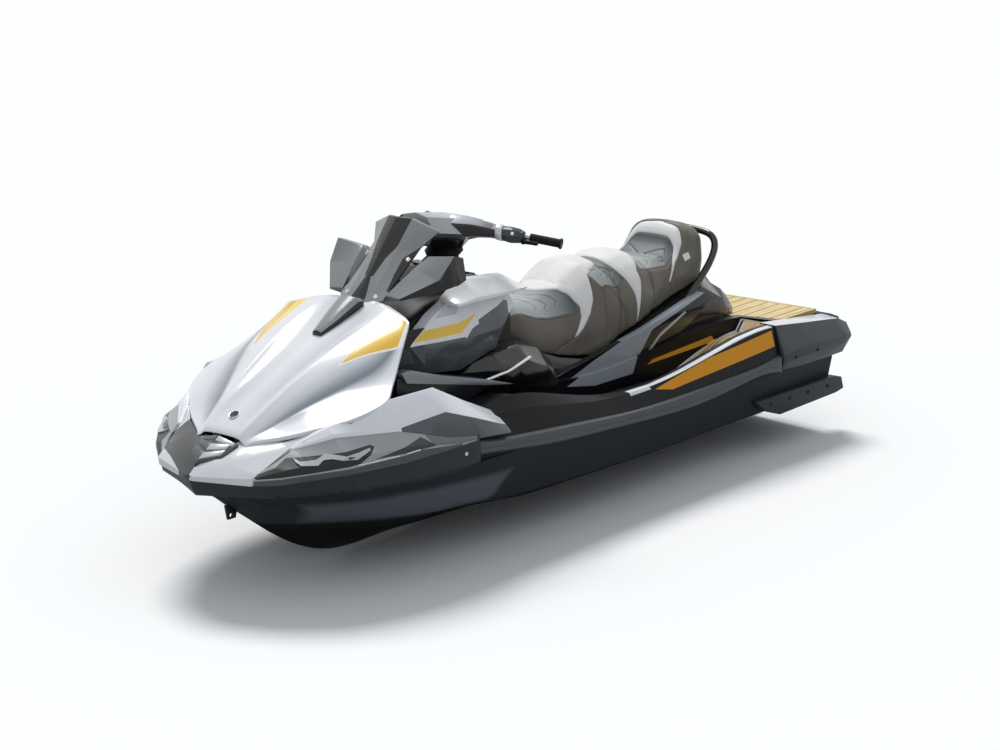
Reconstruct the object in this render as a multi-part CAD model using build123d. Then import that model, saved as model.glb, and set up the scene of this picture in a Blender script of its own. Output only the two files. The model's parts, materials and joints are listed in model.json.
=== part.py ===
from build123d import *
import math
import os

# Three-seat personal watercraft.  All sizes in millimetres.
# Stations are measured forward from the stern, heights up from the keel, half breadths from the
# centreline.  at() turns them into the object's own frame, whose origin is amidships, on the
# centreline, at the waterline: +X forward, +Y to port, +Z up.

# ---- driving dimensions ---------------------------------------------------------------------
LENGTH = 3560.0              # stern edge of the platform to the nose
BEAM = 1200.0                # across the rub rail
WATERLINE = 250.0            # height of the waterline above the keel
TRANSOM = 100.0              # station of the transom

# The craft's lines are drawn for this length and beam, and stretch with the two sizes above.
DRAWN_LENGTH = 3560.0
DRAWN_BEAM = 1200.0
STRETCH = LENGTH / DRAWN_LENGTH
SPREAD = BEAM / DRAWN_BEAM
HALF_BEAM = DRAWN_BEAM / 2

HATCH_SEAM = 5.5             # gap round the front hatch
SOFT_GAP = 0.3               # clearance under cushions and mats
MOVING_GAP = 8.0             # clearance round pieces that move

PLATFORM_HEIGHT = 512.0      # swim platform above the keel
PLATFORM_FRONT = 390.0
FLOOR_AFT_HEIGHT = 462.0     # foot tray at its aft end
FLOOR_HEIGHT = 372.0         # foot tray at its lowest, where the slope from the stern ends
FLOOR_RISE = 28.0            # how far it rises again toward the bow
FLOOR_SLOPE_FRONT = 900.0    # station of the lowest floor
FOOTWELL_INNER = 262.0
FOOTWELL_OUTER = 492.0
FOOTWELL_FRONT = 2260.0
MAT_THICKNESS = 5.0

JET_HEIGHT = 165.0           # jet and drive shaft axis above the keel
PUMP_BORE = 160.0
PUMP_WALL = 9.0
PUMP_FRONT = 560.0
PUMP_REAR = 350.0
IMPELLER_GAP = 5.5
IMPELLER_BLADES = 4
SHAFT_DIAMETER = 30.0
SHAFT_BEARING_GAP = 0.05
NOZZLE_BORE = 86.0
NOZZLE_PIVOT = 205.0         # station of the steering nozzle's pivot
NOZZLE_REAR = 85.0

RIDE_PLATE_TOP = 48.0
RIDE_PLATE_THICK = 8.0
TUNNEL_HALF_WIDTH = 132.0
TUNNEL_FRONT = 860.0
TUNNEL_TOP = 290.0
BUCKET_ROOM = 330.0          # the tunnel is higher aft of here, to take the raised reverse bucket

ENGINE_LENGTH = 720.0
ENGINE_WIDTH = 400.0
ENGINE_HEIGHT = 330.0
ENGINE_REAR = 1230.0
ENGINE_BOTTOM = 120.0
ENGINE_CLEARANCE = 20.0

STEER_BASE = (2120.0, 1000.0)    # station and height where the column leaves the console
STEER_LEAN = 28.0                # degrees the column leans aft
COLUMN_DIAMETER = 46.0
COLUMN_GAP = 0.05
BAR_DIAMETER = 24.0
GRIP_DIAMETER = 36.0
GRIP_END_HALF = 418.0

HATCH_HINGE = (3330.0, 605.0)
HATCH_SKIN = 8.0
HATCH_SEAT_GAP = 1.0         # between the hood's underside and the coaming it closes on


# ---- shape helpers --------------------------------------------------------------------------
def at(station, breadth, height):
    return Vector((station - DRAWN_LENGTH / 2) * STRETCH, breadth * SPREAD, height - WATERLINE)


def polygon(points):
    return Wire.make_polygon([at(*p) for p in points], close=True)


def full_ring(station, half):
    """Closed section at a station from (half breadth, height) pairs, keel side first."""
    port = [(station, y, z) for y, z in half]
    starboard = [(station, -y, z) for y, z in reversed(half) if y > 0]
    return polygon(port + starboard)


def side_ring(station, outline):
    return polygon([(station, y, z) for y, z in outline])


def full_loft(stations, ruled=False):
    return Solid.make_loft([full_ring(x, half) for x, half in stations], ruled)


def side_loft(stations, ruled=True):
    return Solid.make_loft([side_ring(x, outline) for x, outline in stations], ruled)


def plan_loft(levels, ruled=True):
    """Loft between plan outlines given as (height, [(station, half breadth) ...]), nose first."""
    rings = []
    for height, plan in levels:
        port = [(x, y, height) for x, y in plan]
        starboard = [(x, -y, height) for x, y in reversed(plan) if y > 0]
        rings.append(polygon(port + starboard))
    return Solid.make_loft(rings, ruled)


def side_prism(points, inner, outer):
    """Outline of (station, height) points, extruded across from inner to outer breadth."""
    face = Face(polygon([(x, inner, z) for x, z in points]))
    return extrude(face, (outer - inner) * SPREAD, dir=(0, 1, 0))


def plan_prism(points, bottom, top):
    """Outline of (station, breadth) points, extruded up from bottom to top."""
    face = Face(polygon([(x, y, bottom) for x, y in points]))
    return extrude(face, top - bottom, dir=(0, 0, 1))


def cross_prism(points, rear, front):
    """Outline of (breadth, height) points, extruded forward from rear to front."""
    face = Face(polygon([(rear, y, z) for y, z in points]))
    return extrude(face, (front - rear) * STRETCH, dir=(1, 0, 0))


def block(x0, x1, y0, y1, z0, z1):
    centre = at((x0 + x1) / 2, (y0 + y1) / 2, (z0 + z1) / 2)
    return Pos(centre) * Box((x1 - x0) * STRETCH, (y1 - y0) * SPREAD, z1 - z0)


def rod(start, end, diameter):
    axis = at(*end) - at(*start)
    plane = Plane(origin=at(*start), z_dir=axis)
    return plane * extrude(Circle(diameter / 2), axis.length)


def pipe(start, end, outer, bore):
    axis = at(*end) - at(*start)
    plane = Plane(origin=at(*start), z_dir=axis)
    return plane * extrude(Circle(outer / 2) - Circle(bore / 2), axis.length)


JET_AXIS = Axis(at(0, 0, JET_HEIGHT), (1, 0, 0))


def cone_pipe(start, end, outer_a, bore_a, outer_b, bore_b):
    """Tapered tube along X, from start station to end station on the jet axis."""
    outline = [
        (start, bore_a / 2),
        (end, bore_b / 2),
        (end, outer_b / 2),
        (start, outer_a / 2),
    ]
    face = Face(polygon([(x, 0, JET_HEIGHT + r) for x, r in outline]))
    return revolve(face, JET_AXIS, 360)


def bent_tube(points, radius, diameter):
    """Round bar along straight runs joined by arcs."""
    path = FilletPolyline(*[at(*p) for p in points], radius=radius)
    section = Plane(origin=path @ 0, z_dir=path % 0) * Circle(diameter / 2)
    return sweep(section, path=path)


def mirrored(shape):
    return mirror(shape, Plane.XZ)


def pair(shape):
    return [shape, mirrored(shape)]


def solids_of(shape):
    if isinstance(shape, (list, tuple)):
        found = []
        for item in shape:
            found += solids_of(item)
        return found
    return list(shape.solids())


def largest(shape):
    """The biggest solid of a shape, without the slivers that cutting leaves."""
    return max(solids_of(shape), key=lambda solid: solid.volume)


def span(side, inner, outer):
    """Two breadths of one side, 1 for port and -1 for starboard, lowest first."""
    return sorted((side * inner, side * outer))


def cut(shape, *tools):
    """Shape with every tool taken away, as one part."""
    result = shape
    for tool in tools:
        for solid in solids_of(tool):
            result = result - solid
    return result


pieces = {}


def keep(name, shape):
    pieces[name] = Compound(children=solids_of(shape))


# ---- hull and deck --------------------------------------------------------------------------
# Half sections of the bare moulding: keel, inner strake, chine, top of the chine, the side where
# hull meets deck, rail top, outer and inner gunwale edge, and the centre of the deck.
def moulding_section(keel, strake, chine, chine_top, join, rail, outer, inner, middle):
    return [(0, keel), strake, chine, chine_top, join, rail, outer, inner, (0, middle)]


DECK_END = 30.0
MOULDING = [
    (DECK_END, moulding_section(
        0, (270, 95), (500, 165), (525, 190), (556, 352), (556, 425), (540, 498), (495, 505), 512)),
    (250, moulding_section(
        0, (270, 95), (500, 165), (525, 190), (568, 352), (568, 425), (552, 505), (505, 512), 512)),
    (500, moulding_section(
        0, (270, 95), (500, 165), (525, 190), (578, 350), (578, 425), (548, 545), (500, 550), 512)),
    (1000, moulding_section(
        0, (270, 95), (500, 166), (525, 190), (582, 350), (581, 412), (548, 515), (500, 517), 505)),
    (1500, moulding_section(
        0, (270, 100), (500, 168), (527, 192), (584, 357), (581, 410), (542, 470), (500, 468), 505)),
    (1900, moulding_section(
        0, (266, 104), (496, 176), (522, 200), (583, 377), (580, 432), (540, 500), (502, 527), 540)),
    (2300, moulding_section(
        0, (256, 113), (484, 192), (509, 217), (577, 411), (574, 468), (535, 560), (492, 606), 560)),
    (2650, moulding_section(
        6, (235, 130), (455, 225), (480, 250), (562, 432), (558, 500), (520, 560), (460, 575), 560)),
    (2900, moulding_section(
        50, (190, 165), (400, 255), (422, 278), (530, 440), (524, 500), (480, 550), (400, 560), 560)),
    (3080, moulding_section(
        142, (140, 210), (310, 285), (330, 304), (465, 442), (455, 495), (410, 535), (320, 545), 545)),
    (3220, moulding_section(
        240, (92, 265), (205, 312), (221, 328), (367, 441), (355, 480), (315, 515), (230, 525), 525)),
    (3340, moulding_section(
        330, (42, 342), (118, 366), (130, 376), (246, 440), (236, 462), (205, 485), (140, 492), 492)),
    (3440, moulding_section(
        396, (16, 400), (52, 408), (60, 414), (128, 440), (122, 450), (105, 460), (70, 464), 464)),
]

JOIN_LINE = [
    (-200, 352), (TRANSOM, 352), (500, 350), (1000, 350), (1500, 357), (1900, 377), (2300, 411),
    (2650, 432), (2900, 440), (3700, 441),
]


def join_prism(shift=0.0):
    """Everything below the line where hull and deck mouldings meet."""
    line = [(x, z + shift) for x, z in JOIN_LINE]
    return side_prism([(3700, -300), (-200, -300)] + line, -900, 900)


moulding = full_loft(MOULDING)
below_join = join_prism()
overhang = block(-50, TRANSOM, -700, 700, -100, 600)
hull_raw = (moulding & below_join) - overhang
deck_raw = moulding - below_join

# the jet tunnel: open below and through the transom, with a sloping water intake in front
tunnel = side_prism(
    [(TRANSOM - 60, -50), (TUNNEL_FRONT, -50), (TUNNEL_FRONT, 20), (PUMP_FRONT + 20, TUNNEL_TOP),
     (BUCKET_ROOM, TUNNEL_TOP), (BUCKET_ROOM, TUNNEL_TOP + 42), (TRANSOM - 60, TUNNEL_TOP + 42)],
    -TUNNEL_HALF_WIDTH, TUNNEL_HALF_WIDTH)
engine_front = ENGINE_REAR + ENGINE_LENGTH
engine_half = ENGINE_WIDTH / 2
engine_top = ENGINE_BOTTOM + ENGINE_HEIGHT
engine_bay = block(
    ENGINE_REAR - ENGINE_CLEARANCE, engine_front + ENGINE_CLEARANCE,
    -engine_half - ENGINE_CLEARANCE, engine_half + ENGINE_CLEARANCE,
    ENGINE_BOTTOM, engine_top + ENGINE_CLEARANCE)
shaft_tube = rod((PUMP_FRONT, 0, JET_HEIGHT), (ENGINE_REAR, 0, JET_HEIGHT), SHAFT_DIAMETER + 2 * MOVING_GAP)

hull = cut(hull_raw, tunnel, engine_bay, shaft_tube)

engine = block(ENGINE_REAR, engine_front, -engine_half, engine_half, ENGINE_BOTTOM, engine_top)
shaft_socket = rod(
    (ENGINE_REAR - 1, 0, JET_HEIGHT), (ENGINE_REAR + 60, 0, JET_HEIGHT),
    SHAFT_DIAMETER + 2 * SHAFT_BEARING_GAP)
engine = engine - shaft_socket
keep("engine_block", engine)

# the deck: foot trays on both sides of the seat, and the opening for the storage bin
footwell = side_prism(
    [(PLATFORM_FRONT + 40, FLOOR_AFT_HEIGHT), (620, FLOOR_AFT_HEIGHT), (FLOOR_SLOPE_FRONT, FLOOR_HEIGHT),
     (FOOTWELL_FRONT - 260, FLOOR_HEIGHT + FLOOR_RISE), (FOOTWELL_FRONT, 520), (FOOTWELL_FRONT, 900),
     (PLATFORM_FRONT, 900), (PLATFORM_FRONT, PLATFORM_HEIGHT - 1)],
    FOOTWELL_INNER, FOOTWELL_OUTER)

BIN_REAR = 2560.0
BIN_FRONT = 3180.0
BIN_HALF_REAR = 300.0
BIN_HALF_FRONT = 170.0
BIN_FLOOR = 330.0
BIN_TOP = 560.0
BIN_WALL = 5.0
BIN_FIT = 0.2                # between the bin and the hole it hangs in


def bin_plan(grow):
    return [
        (BIN_REAR - grow, -BIN_HALF_REAR - grow), (BIN_FRONT + grow, -BIN_HALF_FRONT - grow),
        (BIN_FRONT + grow, BIN_HALF_FRONT + grow), (BIN_REAR - grow, BIN_HALF_REAR + grow)]


bin_hole = plan_prism(bin_plan(0), BIN_FLOOR, 800)
deck = cut(deck_raw, footwell, mirrored(footwell), bin_hole, engine_bay)
hull = cut(hull, bin_hole)
keep("hull", hull)

keep("deck", deck)

# ---- rub rail -------------------------------------------------------------------------------
RAIL_REAR = 560.0
RAIL_FRONT = 2580.0
RAIL_LINE = [
    (RAIL_REAR, 348, 432), (1000, 345, 409), (1500, 347, 409), (1770, 364, 424), (2100, 388, 453),
    (2340, 416, 474), (RAIL_FRONT, 446, 509),
]


def rail_section(bottom, top):
    return [
        (0, bottom), (HALF_BEAM - 22, bottom), (HALF_BEAM, bottom + 12), (HALF_BEAM - 5, bottom + 26),
        (HALF_BEAM - 2, bottom + 32), (HALF_BEAM - 4, top - 6), (HALF_BEAM - 20, top), (0, top)]


rail_raw = full_loft([(x, rail_section(bottom, top)) for x, bottom, top in RAIL_LINE])
rub_rail = cut(rail_raw, moulding)
keep("rub_rail", rub_rail)

# ---- bow bumper -----------------------------------------------------------------------------
BUMPER_REAR = 2585.0
bumper_levels = [
    (405, [(3498, 0), (3360, 268), (3100, 455), (2850, 545), (BUMPER_REAR + 60, 570)]),
    (430, [(3514, 0), (3402, 272), (3150, 482), (2870, 575), (BUMPER_REAR, HALF_BEAM)]),
    (512, [(3538, 0), (3447, 246), (3170, 474), (2880, 568), (BUMPER_REAR, HALF_BEAM)]),
    (560, [(3548, 0), (3465, 236), (3190, 470), (2890, 562), (BUMPER_REAR, HALF_BEAM - 6)]),
]
bumper_top = side_prism(
    [(3700, 470), (3533, 486), (3450, 497), (3140, 528), (BUMPER_REAR - 60, 532), (BUMPER_REAR - 60, 700),
     (3700, 700)], -700, 700)
bow_bumper = cut(plan_loft(bumper_levels), bumper_top, moulding)
keep("bow_bumper", bow_bumper)

# ---- front hatch ----------------------------------------------------------------------------
# Half sections of the hood: centre, ridge foot, ridge, flare, flare edge, crease, side, lower side.
HOOD = [
    (3360, [(0, 622), (70, 621), (96, 617), (112, 600), (122, 590), (132, 582), (240, 586), (380, 580)]),
    (3200, [(0, 712), (82, 710), (116, 713), (140, 697), (156, 683), (168, 672), (262, 656), (430, 640)]),
    (3050, [(0, 782), (92, 784), (132, 798), (172, 782), (212, 764), (236, 748), (322, 716), (480, 690)]),
    (2900, [(0, 848), (104, 850), (152, 866), (222, 858), (290, 836), (330, 796), (382, 758), (500, 712)]),
    (2750, [(0, 912), (122, 912), (172, 920), (242, 908), (316, 884), (356, 814), (402, 776), (510, 730)]),
    (2560, [(0, 990), (132, 986), (192, 976), (262, 962), (336, 934), (372, 836), (412, 796), (520, 750)]),
]
HOOD_BOTTOM = 420.0


def hood_body(drop, bottom):
    stations = []
    for x, top in HOOD:
        half = [(0, bottom), (top[-1][0], bottom)]
        half += [(y, z - drop) for y, z in reversed(top)]
        stations.append((x, half))
    return full_loft(stations, ruled=True)


HOOD_PLAN = [(3345, 126), (3268, 240), (3180, 338), (3100, 412), (2968, 462), (2780, 462), (2500, 462)]


def hood_plan(gap):
    port = [(x + gap, y + gap) for x, y in HOOD_PLAN]
    return plan_prism([(x, y) for x, y in port] + [(x, -y) for x, y in reversed(port)], 300, 1100)


hood_rear = side_prism(
    [(2585, 1200), (2600, 975), (2650, 940), (2735, 862), (2830, 792), (2965, 715), (2990, 400), (2400, 400),
     (2400, 1200)], -600, 600)
hood_outer = hood_body(0, HOOD_BOTTOM)
hood_inner = hood_body(HATCH_SKIN, HOOD_BOTTOM - 10)
front_hatch = ((hood_outer - hood_inner) & hood_plan(0)) - hood_rear
HINGE_PIN = 8.0
HINGE_GAP = 0.05
LUG_SPAN = (34.0, 44.0)      # breadths of the hood's hinge lugs
LUG_BOSS = 18.0
EAR_SPAN = (52.0, 62.0)      # breadths of the fixed ears outside them
EAR_HALF = 9.0
HINGE_BASE_TOP = 500.0
hinge_x, hinge_z = HATCH_HINGE
lugs = []
for side in (-1, 1):
    y0, y1 = span(side, *LUG_SPAN)
    lug = side_prism([(hinge_x - 60, hinge_z + 80), (hinge_x - 60, hinge_z + 10), (hinge_x - 6, hinge_z - 9),
                      (hinge_x + 7, hinge_z - 3), (hinge_x + 7, hinge_z + 50)], y0, y1)
    lug = lug + rod((hinge_x, y0, hinge_z), (hinge_x, y1, hinge_z), LUG_BOSS)
    lug = lug & hood_body(HATCH_SKIN / 2, HOOD_BOTTOM)
    lug = lug - rod((hinge_x, y0 - 5, hinge_z), (hinge_x, y1 + 5, hinge_z), HINGE_PIN + 2 * HINGE_GAP)
    lugs.append(lug)
front_hatch = front_hatch + lugs[0] + lugs[1]
keep("front_hatch", front_hatch)
hatch_hinge = block(hinge_x - 45, hinge_x + 8, -EAR_SPAN[1] - 4, EAR_SPAN[1] + 4, 440, HINGE_BASE_TOP)
for side in (-1, 1):
    y0, y1 = span(side, *EAR_SPAN)
    hatch_hinge = hatch_hinge + block(
        hinge_x - EAR_HALF, hinge_x + EAR_HALF, y0, y1, HINGE_BASE_TOP - 20, hinge_z + 6)
hatch_hinge = hatch_hinge + rod(
    (hinge_x, -EAR_SPAN[1], hinge_z), (hinge_x, EAR_SPAN[1], hinge_z), HINGE_PIN)
hatch_hinge = cut(hatch_hinge, moulding, bow_bumper)
keep("hatch_hinge", hatch_hinge)

# ---- fenders, cheeks and nose ---------------------------------------------------------------
# Port half only; outlines run inner bottom, inner top, ridge, outer edge, lower edge, lower inner.
FENDER = [
    (3290, [(276, 560), (280, 586), (288, 588), (298, 587), (300, 583), (296, 560)]),
    (3180, [(330, 590), (338, 650), (366, 652), (400, 634), (406, 622), (396, 590)]),
    (2960, [(420, 590), (440, 716), (470, 728), (520, 634), (526, 618), (510, 590)]),
    (2740, [(400, 570), (410, 690), (500, 735), (555, 648), (575, 556), (556, 550)]),
    (2570, [(400, 560), (410, 640), (502, 650), (582, 592), (596, 516), (570, 514)]),
    (2396, [(440, 540), (450, 560), (510, 570), (580, 520), (598, 500), (575, 496)]),
]
fender_raw = side_loft(FENDER)
hood_room = hood_plan(HATCH_SEAM)
hood_room_inner = hood_room - side_prism([(2900, 0), (2300, 0), (2300, 1200), (2900, 1200)], -600, 600)
fender_left = cut(fender_raw, hood_room_inner, moulding, bow_bumper, rub_rail)
keep("fenders", pair(fender_left))

CHEEK = [
    (3440, [(200, 470), (228, 502), (236, 503), (250, 502), (251, 498), (249, 470)]),
    (3380, [(210, 470), (256, 530), (276, 540), (326, 526), (326, 505), (318, 470)]),
    (3290, [(240, 470), (280, 560), (300, 582), (404, 545), (400, 512), (388, 480)]),
    (3180, [(320, 480), (340, 580), (404, 621), (484, 556), (478, 524), (470, 490)]),
    (2960, [(440, 500), (450, 590), (526, 617), (556, 560), (557, 532), (556, 500)]),
    (2740, [(480, 520), (490, 550), (574, 555), (590, 544), (592, 532), (590, 510)]),
    (2600, [(500, 520), (510, 528), (590, 534), (597, 533), (598, 531), (598, 515)]),
]
cheek_left = cut(side_loft(CHEEK), fender_left, hood_room_inner, moulding, bow_bumper, rub_rail)
keep("bow_cheeks", pair(cheek_left))

NOSE = [
    (3528, [(0, 470), (20, 470), (22, 487), (10, 489), (0, 490)]),
    (3450, [(0, 470), (238, 470), (244, 498), (120, 530), (0, 552)]),
    (3290, [(0, 470), (276, 470), (282, 584), (190, 606), (0, 640)]),
    (3170, [(0, 470), (330, 470), (346, 652), (190, 640), (0, 660)]),
]
VENT_FRONT = 3500.0
VENT_REAR = 3350.0
VENT_HALF = 82.0
nose_room = plan_prism(
    [(VENT_FRONT, 0), (VENT_REAR + 40, VENT_HALF), (VENT_REAR, VENT_HALF), (VENT_REAR, -VENT_HALF),
     (VENT_REAR + 40, -VENT_HALF)], 500, 700)
nose_raw = cut(full_loft(NOSE, ruled=True), moulding, bow_bumper, pair(fender_left), pair(cheek_left),
               hood_plan(HATCH_SEAM))
nose_panel = nose_raw - nose_room
keep("nose_panel", largest(nose_panel))
vent_core = (nose_raw & nose_room) - block(3300, 3600, -200, 200, 560, 700)
keep("nose_vent", largest(vent_core))

# ---- what opens with the hood ---------------------------------------------------------------
LATCH = [
    (2830, [(0, 860), (26, 860), (20, 892), (10, 898), (0, 899)]),
    (2757, [(0, 860), (44, 860), (38, 928), (20, 936), (0, 938)]),
    (2650, [(0, 900), (58, 900), (54, 984), (34, 998), (0, 1002)]),
    (2622, [(0, 920), (58, 920), (56, 982), (36, 990), (0, 992)]),
]
latch = cut(full_loft(LATCH, ruled=True), hood_outer)
keep("hatch_latch", latch)

SCREEN = [
    (945, [(2650, 0), (2640, 60), (2618, 116), (2566, 114), (2580, 60), (2586, 0)]),
    (984, [(2596, 0), (2588, 60), (2571, 110), (2557, 108), (2574, 60), (2582, 0)]),
    (1150, [(2455, 0), (2428, 60), (2363, 118), (2350, 116), (2414, 60), (2441, 0)]),
    (1213, [(2403, 0), (2376, 60), (2299, 165), (2286, 162), (2362, 60), (2389, 0)]),
    (1268, [(2357, 0), (2330, 60), (2262, 172), (2249, 169), (2316, 60), (2343, 0)]),
]
screen_top = cross_prism([(-200, 1300), (-200, 1200), (-164, 1213), (-60, 1258), (0, 1262), (60, 1258),
                          (164, 1213), (200, 1200), (200, 1300)], 2100, 2800)
windscreen = cut(plan_loft(SCREEN), screen_top, hood_outer, latch)
keep("windscreen", windscreen)

MIRROR = [
    (2557, [(112, 978), (180, 986), (182, 994), (112, 1000), (110, 992)]),
    (2440, [(108, 985), (270, 1008), (286, 1062), (150, 1086), (120, 1060)]),
    (2372, [(120, 1000), (325, 1034), (303, 1145), (172, 1128), (135, 1100)]),
    (2325, [(150, 1020), (322, 1046), (308, 1132), (182, 1118), (160, 1100)]),
]
mirror_left = cut(side_loft(MIRROR), hood_outer, windscreen)
keep("mirrors", pair(mirror_left))

# ---- storage bin ----------------------------------------------------------------------------
bin_outer = plan_prism(bin_plan(-BIN_FIT), BIN_FLOOR, BIN_TOP)
bin_inner = plan_prism(bin_plan(-BIN_WALL), BIN_FLOOR + BIN_WALL, 700)
keep("storage_bin", bin_outer - bin_inner)

COAMING = 14.0
coaming = plan_prism(bin_plan(COAMING), 480, 900) - plan_prism(bin_plan(0), 400, 1000)
coaming = coaming & hood_body(HATCH_SKIN + HATCH_SEAT_GAP, HOOD_BOTTOM)
coaming = cut(coaming & hood_plan(-MOVING_GAP), moulding)
keep("hatch_coaming", coaming)

# ---- console --------------------------------------------------------------------------------
CONSOLE_HALF = 190.0
CONSOLE_FACE = [(2030, 990), (1900, 860)]    # the sloping face toward the driver
CONSOLE_BACK = [(2540, 560), (2540, 800), (2480, 900), (2330, 960), (2160, 1000)]
console_side = CONSOLE_BACK + CONSOLE_FACE + [(CONSOLE_FACE[1][0], 560)]
console = cut(side_prism(console_side, -CONSOLE_HALF, CONSOLE_HALF), moulding)

# a collar in the console carries the steering column
BEARING_WALL = 12.0
COLUMN_DEPTH = 60.0          # how far the column reaches into the console
lean = math.radians(STEER_LEAN)
UP = (-math.sin(lean), math.cos(lean))


def on_column(distance, side=0.0):
    """Point on the steering axis, a distance up from where it leaves the console."""
    return (STEER_BASE[0] + UP[0] * distance, side, STEER_BASE[1] + UP[1] * distance)


collar_size = COLUMN_DIAMETER + 2 * BEARING_WALL
collar = rod(on_column(-COLUMN_DEPTH - BEARING_WALL), on_column(20), collar_size)
collar = collar - rod(on_column(-COLUMN_DEPTH - SOFT_GAP), on_column(40), COLUMN_DIAMETER + 2 * COLUMN_GAP)
keep("column_collar", collar)
console = cut(console, rod(on_column(-COLUMN_DEPTH - BEARING_WALL), on_column(200), collar_size))

# a glove box in the sloping face, its lid hinged along the lower edge
LID_THICK = 10.0
LID_MARGIN = 4.0             # from the lid's edges to the ends of the sloping face, along X
LID_HALF = 105.0
GLOVE_HALF = 88.0
GLOVE_FLOOR = 790.0
GLOVE_REAR = 1925.0
GLOVE_FRONT = 2062.0
glove_room = block(GLOVE_REAR, GLOVE_FRONT, -GLOVE_HALF, GLOVE_HALF, GLOVE_FLOOR, 1100)
console = cut(console, glove_room)
keep("console", console)
(face_top_x, face_top_z), (face_low_x, face_low_z) = CONSOLE_FACE
slant = math.sqrt(0.5)
lid_low = (face_low_x + LID_MARGIN - SOFT_GAP * slant, face_low_z + LID_MARGIN + SOFT_GAP * slant)
lid_high = (face_top_x - LID_MARGIN - SOFT_GAP * slant, face_top_z - LID_MARGIN + SOFT_GAP * slant)
lid = side_prism(
    [lid_low, lid_high, (lid_high[0] - LID_THICK * slant, lid_high[1] + LID_THICK * slant),
     (lid_low[0] - LID_THICK * slant, lid_low[1] + LID_THICK * slant)], -LID_HALF, LID_HALF)
keep("glove_box_lid", lid)

# the instrument display on top of the console, ahead of the handlebar
display = side_prism([(2230, 985), (2330, 955), (2330, 1000), (2262, 1052), (2225, 1040)], -82, 82)
keep("display", cut(display, console, collar))

FAIRING = [
    (2583, [(200, 700), (200, 815), (250, 822), (258, 800), (240, 700)]),
    (2440, [(200, 690), (200, 915), (240, 905), (275, 800), (250, 690)]),
    (2283, [(200, 670), (200, 985), (240, 980), (285, 800), (250, 670)]),
    (2060, [(200, 700), (200, 1010), (235, 1000), (275, 800), (245, 715)]),
    (1940, [(200, 860), (200, 900), (225, 895), (240, 870), (230, 860)]),
]
fairing_left = cut(side_loft(FAIRING), moulding)
keep("console_fairings", pair(fairing_left))

# ---- seats ----------------------------------------------------------------------------------
# Cushion sections: station, underside, top, half breadth.
DRIVER_SEAT = [
    (1885, 700, 826, 105), (1790, 645, 838, 158), (1620, 580, 815, 192), (1470, 545, 838, 205),
    (1340, 528, 918, 207), (1262, 545, 921, 206), (1180, 572, 880, 202),
]
MIDDLE_SEAT = [(1176, 574, 880, 202), (1064, 598, 909, 203), (1000, 612, 902, 200), (932, 627, 862, 196)]
REAR_SEAT = [
    (928, 628, 860, 195), (790, 658, 834, 190), (715, 674, 880, 186), (630, 692, 976, 182),
    (560, 707, 972, 174), (508, 718, 936, 146),
]
SEAT_CROWN = 1.0             # how domed the two front seats are
REAR_CROWN = 0.35


def cushion(stations, crown):
    rings = []
    for x, bottom, top, half in stations:
        tall = top - bottom
        rings.append((x, [
            (0, bottom), (half - 6, bottom), (half + 4, bottom + 0.4 * tall),
            (0.95 * half, top - (0.12 + 0.18 * crown) * tall),
            (0.76 * half, top - (0.04 + 0.09 * crown) * tall),
            (0.48 * half, top - 0.035 * crown * tall), (0, top)]))
    return full_loft(rings, ruled=True)


driver_seat = cushion(DRIVER_SEAT, SEAT_CROWN)
middle_seat = cushion(MIDDLE_SEAT, SEAT_CROWN)
rear_seat = cushion(REAR_SEAT, REAR_CROWN)
keep("driver_seat", driver_seat)
keep("middle_seat", middle_seat)
keep("rear_seat", rear_seat)

# the grab handle loops behind the backrest, its ends in the pedestal's shoulders
HANDLE_TUBE = 30.0
HANDLE_BEND = 26.0
HANDLE_PORT = [(740, 207, 650), (590, 205, 748), (502, 204, 836), (508, 178, 900), (478, 90, 912)]
handle_points = HANDLE_PORT + [(x, -y, z) for x, y, z in reversed(HANDLE_PORT)]
grab_handle = bent_tube(handle_points, HANDLE_BEND, HANDLE_TUBE)
keep("grab_handle", grab_handle)

# the pedestal under the seats, wider at the foot trays
BASE_REAR = 480.0
BASE_FRONT = 1892.0
BASE_FOOT = (245.0, 380.0)
BASE_SHOULDER = (205.0, 760.0)
ALL_SEATS = DRIVER_SEAT + MIDDLE_SEAT + REAR_SEAT
seat_line = [(x, bottom - SOFT_GAP) for x, bottom, top, half in reversed(ALL_SEATS)]
base_side = [(BASE_REAR, 300), (BASE_REAR, seat_line[0][1])] + seat_line
base_side += [(BASE_FRONT, 690), (BASE_FRONT, 300)]
base_section = cross_prism(
    [(-BASE_FOOT[0], BASE_FOOT[1]), (-BASE_SHOULDER[0], BASE_SHOULDER[1]), BASE_SHOULDER, BASE_FOOT],
    BASE_REAR, BASE_FRONT)
shoulder_cut = side_loft([
    (BASE_REAR - 5, [(130, 712), (250, 590), (250, 820), (130, 820)]),
    (600, [(185, 715), (250, 650), (250, 820), (185, 820)]),
    (700, [(205, 745), (250, 700), (250, 820), (205, 820)]),
])
seat_base = side_prism(base_side, -BASE_FOOT[0], BASE_FOOT[0]) & base_section
seat_base = cut(
    seat_base, moulding, driver_seat, middle_seat, rear_seat, grab_handle,
    shoulder_cut, mirrored(shoulder_cut))
keep("seat_base", seat_base)

SIDE_PANEL = [
    (1777, 497), (1573, 535), (1101, 600), (668, 685), (578, 651), (740, 574), (958, 484), (1000, 440),
    (1446, 440),
]
side_panel = cut(side_prism(SIDE_PANEL, 215, 252), base_section, moulding, grab_handle)
keep("side_panels", pair(side_panel))

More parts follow.
